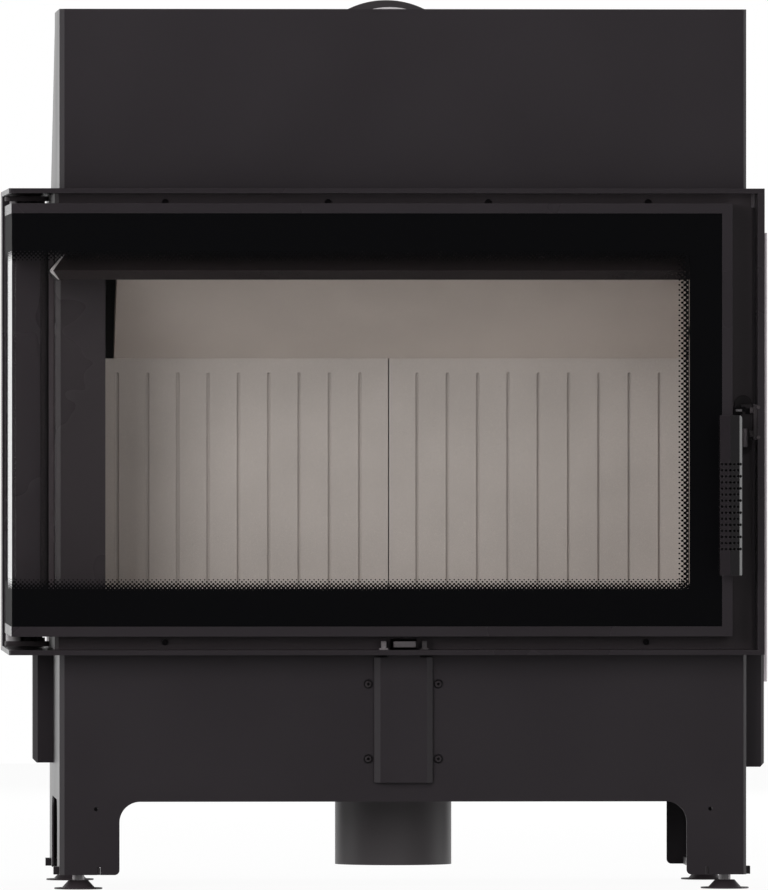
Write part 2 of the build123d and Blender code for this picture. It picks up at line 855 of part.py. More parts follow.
for tile_name, tile_left in (
    ("rear_tile_left", casing_middle - tile_gap / 2 - rear_tile_width),
    ("rear_tile_right", casing_middle + tile_gap / 2),
):
    with BuildPart() as tile:
        rear_tile(tile_left)
    save(tile.part, tile_name)

hearth_front = casing_front + hearth_setback
with BuildPart() as right_side_tile:
    block(
        (shell_inner_right - side_tile_thickness, hearth_front, lining_floor),
        (shell_inner_right, lining_rear, side_tile_top),
    )
save(right_side_tile.part, "right_side_tile")

with BuildPart() as left_side_tile:
    block(
        (shell_inner_left, column_front + column_return, shell_floor_top),
        (shell_inner_left + side_tile_thickness, lining_rear, side_tile_top),
    )
save(left_side_tile.part, "left_side_tile")

with BuildPart() as hearth_tiles:
    hearth_left = casing_left + column_width + 2 * tile_gap
    tile_length = (shell_inner_right - hearth_left + tile_gap) / hearth_tile_count - tile_gap
    for index in range(hearth_tile_count):
        tile_start = hearth_left + index * (tile_length + tile_gap)
        block(
            (tile_start, hearth_front, shell_floor_top),
            (tile_start + tile_length, shell_inner_rear, lining_floor),
        )
save(hearth_tiles.part, "hearth_tiles")

# Baffle: a sloping plate whose foot lies flat on the rear tiles, carried in front by a bar
slope_run = cos(radians(baffle_angle))
slope_rise = sin(radians(baffle_angle))
baffle_left = shell_inner_left + side_tile_thickness + baffle_left_gap
baffle_right = shell_inner_right - side_tile_thickness - tile_gap
baffle_tip_y = lining_rear - baffle_length * slope_run
baffle_tip_z = rear_tile_top + baffle_length * slope_rise
baffle_back = shell_inner_rear - tile_gap
baffle_upper_y = lining_rear + baffle_thickness * slope_rise
baffle_upper_z = rear_tile_top + baffle_thickness * slope_run
with BuildPart() as baffle_plate:
    with BuildSketch(Plane.YZ.offset(baffle_left)):
        with BuildLine():
            Polyline(
                (lining_rear, rear_tile_top),
                (baffle_tip_y, baffle_tip_z),
                (baffle_tip_y + baffle_thickness * slope_rise, baffle_tip_z + baffle_thickness * slope_run),
                (baffle_back, baffle_upper_z - (baffle_back - baffle_upper_y) * slope_rise / slope_run),
                (baffle_back, rear_tile_top),
                close=True,
            )
        make_face()
    extrude(amount=baffle_right - baffle_left)
save(baffle_plate.part, "baffle_plate")

with BuildPart() as baffle_support_bar:
    bar_y = baffle_tip_y + baffle_bar_inset * slope_run - baffle_bar_radius * slope_rise
    bar_z = baffle_tip_z - baffle_bar_inset * slope_rise - baffle_bar_radius * slope_run
    with BuildSketch(Plane.YZ.offset(shell_inner_left)):
        with Locations((bar_y, bar_z)):
            Circle(baffle_bar_radius)
    extrude(amount=shell_inner_right - shell_inner_left)
save(baffle_support_bar.part, "baffle_support_bar")

# Air box in the base, fed by the round spigot under it
spigot_y = casing_front + spigot_setback
air_box_front = casing_front + casing_sheet
with BuildPart() as air_box:
    block(
        (casing_middle - air_box_width / 2, air_box_front, air_box_bottom),
        (casing_middle + air_box_width / 2, air_box_front + air_box_length, air_box_top),
    )
    offset(amount=-air_box_sheet, kind=Kind.INTERSECTION, mode=Mode.SUBTRACT)
    with BuildSketch(Plane.XY.offset(air_box_bottom)):
        with Locations((casing_middle, spigot_y)):
            Circle(spigot_neck_radius)
    extrude(amount=air_box_sheet, mode=Mode.SUBTRACT)
    port_front = casing_front + air_port_setback
    block(
        (casing_middle - air_port_width / 2, port_front, air_box_top - air_box_sheet),
        (casing_middle + air_port_width / 2, port_front + air_port_length, air_box_top),
        mode=Mode.SUBTRACT,
    )
save(air_box.part, "air_box")

spigot_top = spigot_bottom + spigot_length
spigot_neck_bore = spigot_neck_radius - spigot_wall
with BuildPart() as air_spigot:
    with BuildSketch(Plane.XY.offset(spigot_bottom)):
        with Locations((casing_middle, spigot_y)):
            Circle(spigot_radius)
            Circle(spigot_neck_bore, mode=Mode.SUBTRACT)
    extrude(amount=spigot_length)
    with BuildSketch(Plane.XY.offset(spigot_bottom)):
        with Locations((casing_middle, spigot_y)):
            Circle(spigot_radius - spigot_wall)
    extrude(amount=spigot_length - spigot_wall, mode=Mode.SUBTRACT)
    # A narrower neck passes through the bottom of the air box
    with BuildSketch(Plane.XY.offset(spigot_top)):
        with Locations((casing_middle, spigot_y)):
            Circle(spigot_neck_radius)
            Circle(spigot_neck_bore, mode=Mode.SUBTRACT)
    extrude(amount=air_box_bottom + air_box_sheet - spigot_top)
save(air_spigot.part, "air_spigot")

with BuildPart() as air_cover:
    cover_left = casing_middle - cover_width / 2
    cover_front = casing_front - cover_reach
    block((cover_left, cover_front, cover_bottom), (cover_left + cover_width, casing_front, frame_bottom))
    chamfer(air_cover.edges().filter_by(Axis.Z).group_by(Axis.Y)[0], cover_bevel)
    block(
        (cover_left + cover_sheet, cover_front + cover_bevel, cover_bottom + cover_sheet),
        (cover_left + cover_width - cover_sheet, casing_front, frame_bottom),
        mode=Mode.SUBTRACT,
    )
    block(
        (cover_left + cover_bevel, cover_front + cover_sheet, cover_bottom + cover_sheet),
        (cover_left + cover_width - cover_bevel, cover_front + cover_bevel, frame_bottom),
        mode=Mode.SUBTRACT,
    )
    for notch_left in (cover_left, cover_left + cover_width - cover_notch_width):
        block(
            (notch_left, cover_front, frame_bottom - cover_notch_height),
            (notch_left + cover_notch_width, casing_front, frame_bottom),
            mode=Mode.SUBTRACT,
        )
save(air_cover.part, "air_cover")

with BuildPart() as air_box_screws:
    with BuildSketch(Plane.XZ.offset(-casing_front)):
        with Locations((casing_middle, air_box_screw_height)):
            with GridLocations(air_box_screw_spacing_x, air_box_screw_spacing_z, 2, 2):
                Circle(screw_head_radius)
    extrude(amount=screw_head_height)
    fillet(air_box_screws.edges().group_by(Axis.Y)[0], 1)
    with BuildSketch(Plane.XZ.offset(-casing_front + screw_head_height)):
        with Locations((casing_middle, air_box_screw_height)):
            with GridLocations(air_box_screw_spacing_x, air_box_screw_spacing_z, 2, 2):
                RegularPolygon(screw_socket_radius, 6)
    extrude(amount=-screw_socket_depth, mode=Mode.SUBTRACT)
save(air_box_screws.part, "air_box_screws")

# Air control: a flat knob and rod that slide the shutter over the port of the air box
shutter_bottom = air_box_top + shutter_gap
rod_bottom = knob_bottom + (knob_height - rod_thickness) / 2
rod_end = port_front + air_port_length / 2 + rod_post_depth
knob_front = front_plane + knob_setback
with BuildPart() as air_control_knob:
    block(
        (casing_middle - knob_width / 2, knob_front, knob_bottom),
        (casing_middle + knob_width / 2, knob_front + knob_depth, knob_bottom + knob_height),
    )
    fillet(air_control_knob.edges().filter_by(Axis.Z), 2)
    block(
        (casing_middle - rod_width / 2, knob_front + knob_depth, rod_bottom),
        (casing_middle + rod_width / 2, rod_end, rod_bottom + rod_thickness),
    )
    block(
        (casing_middle - rod_width / 2, rod_end - rod_post_depth, shutter_bottom + shutter_thickness),
        (casing_middle + rod_width / 2, rod_end, rod_bottom + rod_thickness),
    )
save(air_control_knob.part, "air_control_knob")

with BuildPart() as air_shutter:
    block(
        (
            casing_middle - air_port_width / 2 - shutter_overlap,
            port_front - shutter_overlap,
            shutter_bottom,
        ),
        (
            casing_middle + air_port_width / 2 + shutter_overlap,
            port_front + air_port_length + shutter_overlap,
            shutter_bottom + shutter_thickness,
        ),
    )
save(air_shutter.part, "air_shutter")

with BuildPart() as shutter_guides:
    guide_gap = air_port_width / 2 + shutter_overlap + shutter_gap
    guide_top = shutter_bottom + shutter_thickness + shutter_gap + guide_rail_sheet
    guide_front = port_front - air_port_length
    guide_rear = port_front + air_port_length + shutter_overlap
    for outward in (-1, 1):
        inner_x = casing_middle + outward * guide_gap
        outer_x = inner_x + outward * guide_rail_sheet
        lip_x = inner_x - outward * guide_rail_lip
        wall_x = sorted((inner_x, outer_x))
        shelf_x = sorted((lip_x, outer_x))
        block((wall_x[0], guide_front, air_box_top), (wall_x[1], guide_rear, guide_top))
        block((shelf_x[0], guide_front, guide_top - guide_rail_sheet), (shelf_x[1], guide_rear, guide_top))
save(shutter_guides.part, "shutter_guides")

with BuildPart() as control_guides:
    for side in (-1, 1):
        lug_middle = casing_middle + side * guide_spacing / 2
        block(
            (lug_middle - guide_width / 2, rim_front - guide_depth, opening_floor),
            (lug_middle + guide_width / 2, rim_front, opening_floor + guide_height),
        )
        block(
            (lug_middle - guide_foot_width / 2, rim_front - guide_depth, opening_floor),
            (lug_middle + guide_foot_width / 2, rim_front, opening_floor + guide_sheet),
        )
save(control_guides.part, "control_guides")


# Door: an angle-section frame, L-shaped in plan, with a pane on the front and one on the left
def door_ell(near, far, right, rear, bottom, top, mode=Mode.ADD):
    """An L in plan, between two distances behind the door's front and left faces."""
    with BuildSketch(Plane.XY.offset(bottom)) as outline:
        with BuildLine():
            Polyline(
                (door_left + near, door_front + near),
                (right, door_front + near),
                (right, door_front + far),
                (door_left + far, door_front + far),
                (door_left + far, rear),
                (door_left + near, rear),
                close=True,
            )
        make_face()
    extrude(outline.sketch, amount=top - bottom, mode=mode)


glass_bottom = door_bottom + bar_height
glass_top = door_top - bar_height
stile_left = door_right - stile_width
rear_stile_front = door_rear - rear_stile_depth
pocket_depth = glass_setback + glass_thickness + glass_bed
channel_start = pocket_depth + ledge_thickness
channel_end = door_depth - bar_web
spindle_x = door_right - stile_width / 2
with BuildPart() as door_frame:
    door_ell(0, door_depth, door_right, door_rear, door_bottom, door_top)
    fillet(
        door_frame.edges().filter_by(Axis.Z).sort_by_distance((door_left, door_rear, door_bottom))[0],
        hinge_inset - 1,
    )
    door_ell(
        0,
        door_depth + 1,
        stile_left - ledge_width,
        rear_stile_front,
        glass_bottom + ledge_width,
        glass_top - ledge_width,
        mode=Mode.SUBTRACT,
    )
    door_ell(0, pocket_depth, stile_left, rear_stile_front, glass_bottom, glass_top, mode=Mode.SUBTRACT)
    door_ell(
        channel_start,
        channel_end,
        door_right - bar_web,
        rear_stile_front,
        door_bottom + bar_web,
        door_top - bar_web,
        mode=Mode.SUBTRACT,
    )
    # Blocks that carry the hinge pins and the handle's spindle
    for block_bottom in (door_bottom, door_top - hinge_boss):
        block(
            (door_left + channel_start, door_rear - hinge_boss, block_bottom),
            (door_left + channel_start + hinge_boss, rear_stile_front, block_bottom + hinge_boss),
        )
    block(
        (spindle_x - spindle_block_width, door_front + channel_start, spindle_height - spindle_block_width),
        (door_right - bar_web, door_front + channel_end, spindle_height + spindle_block_width),
    )
    with BuildSketch(Plane.XY.offset(door_bottom)):
        with Locations((hinge_x, hinge_y)):
            Circle(hinge_pin_radius + hinge_clearance)
    extrude(amount=hinge_boss, mode=Mode.SUBTRACT)
    with BuildSketch(Plane.XY.offset(door_top)):
        with Locations((hinge_x, hinge_y)):
            Circle(hinge_pin_radius + hinge_clearance)
    extrude(amount=-hinge_boss, mode=Mode.SUBTRACT)
    with BuildSketch(Plane.XZ.offset(-door_front)):
        with Locations((spindle_x, spindle_height)):
            Circle(spindle_radius + hinge_clearance)
    extrude(amount=-door_depth, mode=Mode.SUBTRACT)
save(door_frame.part, "door_frame")

pane_front = door_front + glass_setback
pane_left = door_left + glass_setback
with BuildPart() as front_glass:
    block((pane_left, pane_front, glass_bottom), (stile_left, pane_front + glass_thickness, glass_top))
save(front_glass.part, "front_glass")

with BuildPart() as side_glass:
    block(
        (pane_left, pane_front + glass_thickness, glass_bottom),
        (pane_left + glass_thickness, rear_stile_front, glass_top),
    )
save(side_glass.part, "side_glass")

with BuildPart() as glass_bedding:
    bed_start = glass_setback + glass_thickness
    door_ell(bed_start, pocket_depth, stile_left, rear_stile_front, glass_bottom, glass_top)
    door_ell(
        bed_start,
        pocket_depth,
        stile_left - ledge_width,
        rear_stile_front,
        glass_bottom + ledge_width,
        glass_top - ledge_width,
        mode=Mode.SUBTRACT,
    )
save(glass_bedding.part, "glass_bedding")

# Rope seal on the back of the door, all round the opening
seal_right = stile_left
seal_rear = hinge_y
seal_far = frame_reach - rim_thickness - door_gap_front - seal_gap
with BuildPart() as door_seal:
    seal_bottom = door_bottom + 2
    seal_top = door_top - 2
    door_ell(door_depth, seal_far, seal_right, seal_rear, seal_bottom, seal_top)
    door_ell(
        door_depth,
        seal_far,
        seal_right - seal_width,
        seal_rear - seal_width,
        seal_bottom + seal_width,
        seal_top - seal_width,
        mode=Mode.SUBTRACT,
    )
save(door_seal.part, "door_seal")

# Hinges: a plate under the top flange and one on the bottom flange, each with a pin
top_plate_bottom = opening_ceiling - hinge_plate_thickness
bottom_plate_top = opening_floor + hinge_plate_thickness


def hinge_plate(bottom):
    """A plate that holds the pin at one end and takes two bolts."""
    plate_left = hinge_x - hinge_plate_width / 2
    block(
        (plate_left, hinge_y - hinge_plate_width / 2, bottom),
        (hinge_x + hinge_plate_tail, hinge_y + hinge_plate_width / 2, bottom + hinge_plate_thickness),
    )
    with BuildSketch(Plane.XY.offset(bottom)) as pin_hole:
        with Locations((hinge_x, hinge_y)):
            Circle(hinge_pin_radius)
    extrude(pin_hole.sketch, amount=hinge_plate_thickness, mode=Mode.SUBTRACT)


with BuildPart() as hinge_plate_top:
    hinge_plate(top_plate_bottom)
save(hinge_plate_top.part, "hinge_plate_top")

with BuildPart() as hinge_plate_bottom:
    hinge_plate(opening_floor)
save(hinge_plate_bottom.part, "hinge_plate_bottom")

with BuildPart() as hinge_pins:
    with BuildSketch(Plane.XY.offset(opening_floor)):
        with Locations((hinge_x, hinge_y)):
            Circle(hinge_pin_radius)
    extrude(amount=door_bottom + hinge_boss - 2 - opening_floor)
    with BuildSketch(Plane.XY.offset(opening_ceiling)):
        with Locations((hinge_x, hinge_y)):
            Circle(hinge_pin_radius)
    extrude(amount=-(opening_ceiling - door_top + hinge_boss - 2))
save(hinge_pins.part, "hinge_pins")

with BuildPart() as thrust_washer:
    with BuildSketch(Plane.XY.offset(bottom_plate_top)):
        with Locations((hinge_x, hinge_y)):
            Circle(thrust_washer_radius)
            Circle(hinge_pin_radius, mode=Mode.SUBTRACT)
    extrude(amount=door_bottom - elbow_running_gap - bottom_plate_top)
save(thrust_washer.part, "thrust_washer")

with BuildPart() as hinge_bolts:
    with BuildSketch(Plane.XY.offset(bottom_plate_top)):
        with Locations(*bolt_places):
            RegularPolygon(hinge_bolt_radius, 6)
            Circle(hinge_socket_radius, mode=Mode.SUBTRACT)
    extrude(amount=hinge_bolt_head)
    with BuildSketch(Plane.XY.offset(bottom_plate_top)):
        with Locations(*bolt_places):
            Circle(hinge_socket_radius)
    extrude(amount=hinge_bolt_head / 2)
    with BuildSketch(Plane.XY.offset(top_plate_bottom)):
        with Locations(*bolt_places):
            RegularPolygon(hinge_bolt_radius, 6)
            Circle(hinge_socket_radius, mode=Mode.SUBTRACT)
    extrude(amount=-hinge_bolt_head)
    with BuildSketch(Plane.XY.offset(top_plate_bottom)):
        with Locations(*bolt_places):
            Circle(hinge_socket_radius)
    extrude(amount=-hinge_bolt_head / 2)
save(hinge_bolts.part, "hinge_bolts")

# Handle: an upright perforated channel on a spindle, with a cam behind the stile
grip_front = front_plane - grip_reach
grip_rear = grip_front + grip_depth
grip_x = spindle_x + grip_offset
grip_bottom = spindle_height - grip_hang
grip_hole_field_bottom = grip_bottom + grip_hole_margin
grip_left = grip_x - grip_width / 2
grip_right = grip_x + grip_width / 2
ridge_x = grip_x - grip_ridge_offset

ridge_drop = grip_right_drop + grip_bevel_drop
with BuildPart() as handle_grip:
    # The front slopes both ways from a ridge, and its right edge is bevelled
    with BuildSketch(Plane.XY.offset(grip_bottom)) as grip_section:
        with BuildLine():
            Polyline(
                (grip_left, grip_rear),
                (grip_left, grip_front + grip_left_drop),
                (ridge_x, grip_front),
                (grip_right - grip_bevel_width, grip_front + grip_right_drop),
                (grip_right, grip_front + ridge_drop),
                (grip_right, grip_rear),
                close=True,
            )
        make_face()
    extrude(amount=grip_length)
    top_edges = handle_grip.edges().filter_by(Axis.Y).group_by(Axis.Z)[-1]
    fillet(top_edges.sort_by(Axis.X)[-1], grip_corner_radius)
    with BuildSketch(Plane.XY.offset(grip_bottom + grip_sheet)):
        offset(grip_section.sketch_local, amount=-grip_sheet, kind=Kind.INTERSECTION)
    extrude(amount=grip_length - 2 * grip_sheet, mode=Mode.SUBTRACT)
    field_height = (grip_hole_rows - 1) * grip_hole_row_pitch
    with BuildSketch(Plane.XZ.offset(-grip_front)):
        with Locations((ridge_x, grip_hole_field_bottom + field_height / 2)):
            with GridLocations(
                grip_hole_column_pitch, grip_hole_row_pitch, grip_hole_columns, grip_hole_rows
            ):
                Circle(grip_hole_radius)
        # Every other row has one hole more, on the bevel
        with Locations((grip_right - grip_notch_inset, grip_hole_field_bottom + field_height / 2)):
            with GridLocations(0, 2 * grip_hole_row_pitch, 1, (grip_hole_rows + 1) // 2):
                Circle(grip_hole_radius)
    extrude(amount=-ridge_drop, mode=Mode.SUBTRACT)
save(handle_grip.part, "handle_grip")

cam_front = door_front + door_depth + spindle_end_play
with BuildPart() as handle_spindle:
    with BuildSketch(Plane.XZ.offset(-grip_rear)):
        with Locations((spindle_x, spindle_height)):
            Circle(spindle_radius)
    extrude(amount=-(cam_front + cam_thickness - grip_rear))
    with BuildSketch(Plane.XZ.offset(-grip_rear)):
        with Locations((spindle_x, spindle_height)):
            Circle(spindle_boss_radius)
    extrude(amount=-(door_front - spindle_end_play - grip_rear))
save(handle_spindle.part, "handle_spindle")

with BuildPart() as latch_cam:
    with BuildSketch(Plane.XZ.offset(-cam_front)):
        with Locations((spindle_x, spindle_height)):
            Circle(cam_hub_radius)
            Rectangle(cam_reach, cam_arm_height, align=(Align.MIN, Align.CENTER))
            Circle(spindle_radius, mode=Mode.SUBTRACT)
    extrude(amount=-cam_thickness)
save(latch_cam.part, "latch_cam")

strike_middle = spindle_height + strike_rise
strike_bottom = strike_middle - strike_height / 2
strike_front = front_plane + strike_setback
with BuildPart() as strike_plate:
    strike_rear = cam_front - 1
    block(
        (upright_left - strike_reach, strike_rear - strike_thickness, strike_bottom),
        (upright_left, strike_rear, strike_bottom + strike_height),
    )
    block(
        (upright_left - strike_thickness, strike_front, strike_bottom),
        (upright_left, strike_rear, strike_bottom + strike_height),
    )
save(strike_plate.part, "strike_plate")

with BuildPart() as strike_bolts:
    with BuildSketch(Plane.YZ.offset(upright_left - strike_thickness)):
        with Locations((strike_front + strike_bolt_setback, strike_middle)):
            with GridLocations(0, strike_bolt_pitch, 1, 2):
                Circle(strike_bolt_radius)
                Circle(strike_bolt_radius / 2, mode=Mode.SUBTRACT)
    extrude(amount=-strike_bolt_head)
    with BuildSketch(Plane.YZ.offset(upright_left - strike_thickness)):
        with Locations((strike_front + strike_bolt_setback, strike_middle)):
            with GridLocations(0, strike_bolt_pitch, 1, 2):
                Circle(strike_bolt_radius / 2)
    extrude(amount=-strike_bolt_head / 2)
save(strike_bolts.part, "strike_bolts")

# Foot plates: a threaded plate across the bottom of each leg, with a tab through the side
foot_left_x = casing_left + foot_inset_x
foot_right_x = casing_right - foot_inset_x
foot_plate_top = leg_clearance + foot_plate_thickness
with BuildPart() as foot_plates:
    for foot_y in (foot_front_y, foot_rear_y):
        for outward, edge_x in ((-1, casing_left), (1, casing_right)):
            plate_x = sorted((edge_x - outward * casing_sheet, edge_x - outward * foot_plate_size))
            tab_x = sorted((edge_x - outward * casing_sheet, edge_x + outward * foot_tab_reach))
            block(
                (plate_x[0], foot_y - foot_inset_front + left_bend, leg_clearance),
                (plate_x[1], foot_y + foot_inset_front - left_bend, foot_plate_top),
            )
            block(
                (tab_x[0], foot_y - foot_tab_width / 2, leg_clearance),
                (tab_x[1], foot_y + foot_tab_width / 2, foot_plate_top),
            )
    with BuildSketch(Plane.XY.offset(leg_clearance)):
        with Locations((0, (foot_front_y + foot_rear_y) / 2)):
            with Locations(((foot_left_x + foot_right_x) / 2, 0)):
                with GridLocations(foot_right_x - foot_left_x, foot_rear_y - foot_front_y, 2, 2):
                    Circle(foot_stud_radius + thread_clearance)
    extrude(amount=foot_plate_thickness, mode=Mode.SUBTRACT)
save(foot_plates.part, "foot_plates")

# Levelling feet: a stud with a cone and a flat disc
for foot_name, foot_x, foot_y in (
    ("front_left", foot_left_x, foot_front_y),
    ("front_right", foot_right_x, foot_front_y),
    ("rear_left", foot_left_x, foot_rear_y),
    ("rear_right", foot_right_x, foot_rear_y),
):
    cone_top = foot_disc_thickness + foot_cone_height
    with BuildPart() as foot_pad:
        with BuildSketch(Plane.XZ.offset(-foot_y)):
            with BuildLine():
                Polyline(
                    (foot_x, 0),
                    (foot_x + foot_disc_radius, 0),
                    (foot_x + foot_disc_radius, foot_disc_thickness),
                    (foot_x + foot_cone_base_radius, foot_disc_thickness),
                    (foot_x + foot_cone_top_radius, cone_top),
                    (foot_x, cone_top),
                    close=True,
                )
            make_face()
        revolve(axis=Axis((foot_x, foot_y, 0), (0, 0, 1)))
    save(foot_pad.part, f"foot_pad_{foot_name}")
    with BuildPart() as foot_stud:
        with BuildSketch(Plane.XY.offset(cone_top)):
            with Locations((foot_x, foot_y)):
                Circle(foot_stud_radius)
        extrude(amount=foot_stud_length)
        chamfer(foot_stud.edges().group_by(Axis.Z)[-1], 1)
    save(foot_stud.part, f"foot_stud_{foot_name}")
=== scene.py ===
from math import radians

import bpy
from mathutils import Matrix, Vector


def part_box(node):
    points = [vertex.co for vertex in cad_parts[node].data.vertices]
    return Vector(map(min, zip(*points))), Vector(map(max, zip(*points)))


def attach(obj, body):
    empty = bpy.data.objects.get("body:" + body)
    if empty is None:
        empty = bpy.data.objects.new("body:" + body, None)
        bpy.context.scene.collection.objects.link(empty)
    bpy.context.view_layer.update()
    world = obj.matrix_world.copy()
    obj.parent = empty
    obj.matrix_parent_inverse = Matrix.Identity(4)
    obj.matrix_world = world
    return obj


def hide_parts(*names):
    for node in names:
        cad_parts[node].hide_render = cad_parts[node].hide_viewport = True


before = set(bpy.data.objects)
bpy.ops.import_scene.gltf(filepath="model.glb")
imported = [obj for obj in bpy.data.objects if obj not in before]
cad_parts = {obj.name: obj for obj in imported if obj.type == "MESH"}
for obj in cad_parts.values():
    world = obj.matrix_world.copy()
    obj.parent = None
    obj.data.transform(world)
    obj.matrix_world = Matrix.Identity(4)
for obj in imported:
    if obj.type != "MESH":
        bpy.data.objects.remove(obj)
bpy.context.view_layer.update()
bpy.ops.object.select_all(action="DESELECT")
MM = 0.001


# Casing: a base with four legs, a hood, side and rear sheets and a column behind the side pane.
# Folded steel sheet, 2 mm thick, coated with a matt heatproof paint that has a fine grain.
# The folds are bent cold, the seams welded and ground, and the paint is thinner along the edges.
def new_finish(name):
    """A material with only its output node."""
    finish = bpy.data.materials.new(name)
    finish.use_nodes = True
    finish.node_tree.nodes.clear()
    return finish


def add(finish, kind, feeds=(), **settings):
    """Adds a node, with its settings, and feeds its sockets by value or from another node."""
    node = finish.node_tree.nodes.new(kind)
    for name, value in settings.items():
        setattr(node, name, value)
    for socket, value in dict(feeds).items():
        if isinstance(value, bpy.types.NodeSocket):
            finish.node_tree.links.new(value, node.inputs[socket])
        else:
            node.inputs[socket].default_value = value
    return node


def maths(finish, operation, *values):
    """A Math node on one, two or three values, and its result."""
    return add(finish, "ShaderNodeMath", enumerate(values), operation=operation).outputs[0]


def spread(finish, value, low, high, smooth=False):
    """A value taken from the range low..high to 0..1."""
    ends = {"Value": value, "From Min": low, "From Max": high}
    kind = "SMOOTHSTEP" if smooth else "LINEAR"
    return add(finish, "ShaderNodeMapRange", ends, interpolation_type=kind).outputs[0]


def noise(finish, size, detail=2.0, stretch=(1, 1, 1)):
    """A noise value with features of about this size, in metres, stretched along the axes."""
    place = add(finish, "ShaderNodeTexCoord").outputs["Object"]
    scaled = add(finish, "ShaderNodeMapping", {"Vector": place, "Scale": [1 / s for s in stretch]})
    feeds = {"Vector": scaled.outputs[0], "Scale": 1 / size, "Detail": detail}
    return add(finish, "ShaderNodeTexNoise", feeds).outputs["Fac"]


def mix_colour(finish, share, first, second, blend="MIX"):
    """Two colours mixed by a share."""
    node = add(finish, "ShaderNodeMix", {"Factor": share}, data_type="RGBA", blend_type=blend)
    for socket, colour in ((node.inputs[6], first), (node.inputs[7], second)):
        if isinstance(colour, bpy.types.NodeSocket):
            finish.node_tree.links.new(colour, socket)
        else:
            socket.default_value = (*colour, 1)
    return node.outputs[2]


def edge_line(finish, width):
    """How near a point is to a sharp edge, from 0 to 1, and the normal rounded over that edge."""
    rounded = add(finish, "ShaderNodeBevel", {"Radius": width}, samples=4).outputs[0]
    flat = add(finish, "ShaderNodeNewGeometry").outputs["Normal"]
    product = add(finish, "ShaderNodeVectorMath", {0: rounded, 1: flat}, operation="DOT_PRODUCT")
    return spread(finish, product.outputs["Value"], 0.995, 0.8), rounded


def srgb(red, green, blue):
    """A colour read off a screen, 0 to 255, in the renderer's own linear values."""
    return tuple(
        value / 255 / 12.92 if value < 11 else ((value / 255 + 0.055) / 1.055) ** 2.4
        for value in (red, green, blue)
    )


def finish_out(finish, shader):
    """Joins a shader to the material's output."""
    add(finish, "ShaderNodeOutputMaterial", {"Surface": shader})
    return finish


def paint(name, colour, roughness, grain, edge_wear_and_highlight_gain=1.7, painted_light_depth=None, painted_shade_from_x=None):
    """A matt stove paint, mottled and grainy, and paler along its edges, from wear and, at a high
    edge gain, a painted highlight.

    Front faces deeper than the given depth are paler with painted light, and what lies right of the
    given x is darker with painted shade.
    """
    painted_light_gain = 2.1
    painted_shade_share = 0.4
    finish = new_finish(name)
    cloud = spread(finish, noise(finish, 0.16, 3), 0.35, 0.65)
    speck = spread(finish, noise(finish, grain, 1), 0.3, 0.7)
    base = mix_colour(finish, cloud, [c * 0.94 for c in colour], [c * 1.06 for c in colour])
    speck_share = maths(finish, "MULTIPLY", speck, 0.2)
    base = mix_colour(finish, speck_share, base, [c * 1.3 for c in colour])
    # Edges are paler: worn paint, and at a high edge gain also a painted highlight.
    edge, rounded = edge_line(finish, 0.7 * MM)
    edge_wear_and_highlight = maths(finish, "MULTIPLY", edge, spread(finish, noise(finish, 0.03, 4), 0.25, 0.6))
    base = mix_colour(finish, edge_wear_and_highlight, base, [c * edge_wear_and_highlight_gain + 0.004 for c in colour])
    # Painted light: deep front faces, which lie in shade inside the recess, are made paler.
    if painted_light_depth is not None:
        place = add(finish, "ShaderNodeTexCoord").outputs["Object"]
        depth = add(finish, "ShaderNodeSeparateXYZ", {"Vector": place}).outputs["Y"]
        normal = add(finish, "ShaderNodeNewGeometry").outputs["Normal"]
        facing = add(finish, "ShaderNodeSeparateXYZ", {"Vector": normal}).outputs["Y"]
        deep = maths(finish, "GREATER_THAN", depth, painted_light_depth)
        painted_light_mask = maths(finish, "MULTIPLY", deep, spread(finish, facing, -0.3, -0.7))
        base = mix_colour(finish, painted_light_mask, base, [c * painted_light_gain for c in colour])
    # Painted shade: the side right of the given x is made darker, standing for the shade on it.
    if painted_shade_from_x is not None:
        place = add(finish, "ShaderNodeTexCoord").outputs["Object"]
        across = add(finish, "ShaderNodeSeparateXYZ", {"Vector": place}).outputs["X"]
        painted_shade_mask = spread(finish, across, painted_shade_from_x, painted_shade_from_x + 0.4 * MM)
        base = mix_colour(finish, painted_shade_mask, base, [c * painted_shade_share for c in colour])
    gloss = maths(finish, "MULTIPLY_ADD", cloud, 0.06, roughness)
    height = {"Height": speck, "Normal": rounded, "Strength": 0.2, "Distance": 0.04 * MM}
    bump = add(finish, "ShaderNodeBump", height).outputs[0]
    feeds = {"Base Color": base, "Roughness": gloss, "Normal": bump, "Specular IOR Level": 0.45}
    return finish_out(finish, add(finish, "ShaderNodeBsdfPrincipled", feeds).outputs[0])


def dress(finish, *names):
    """Gives CAD nodes a finish, in place of every slot they have."""
    for name in names:
        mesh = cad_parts[name].data
        mesh.materials.clear()
        mesh.materials.append(finish)


grain_size = 0.9 * MM
casing_paint = paint("casing_paint", srgb(43, 39, 42), 0.3, grain_size)
dress(
    casing_paint,
    "base_casing",
    "hood_casing",
    "side_panel_right",
    "rear_panel",
    "left_wing_bracket",
    "right_side_duct",
    "air_cover",
    "foot_plates",
)
dress(paint("column_paint", srgb(54, 49, 52), 0.24, grain_size), "corner_column")
dress(paint("shield_paint", srgb(190, 182, 186), 0.4, grain_size), "right_heat_shield")

# Frame: flanges above and below the door, an upright on the right, a post at the back on the left
# and the rim that the door seals on. The same coated steel, a touch cooler in tone.
frame_paint = paint("frame_paint", srgb(40, 36, 39), 0.26, grain_size)
dress(
    frame_paint,
    "frame_top_flange",
    "frame_bottom_flange",
    "frame_right_upright",
    "rear_left_post",
)
# The rim's deep front faces are paler with painted light.
dress(paint("rim_paint", srgb(57, 51, 54), 0.36, grain_size, painted_light_depth=0.05), "door_rim")

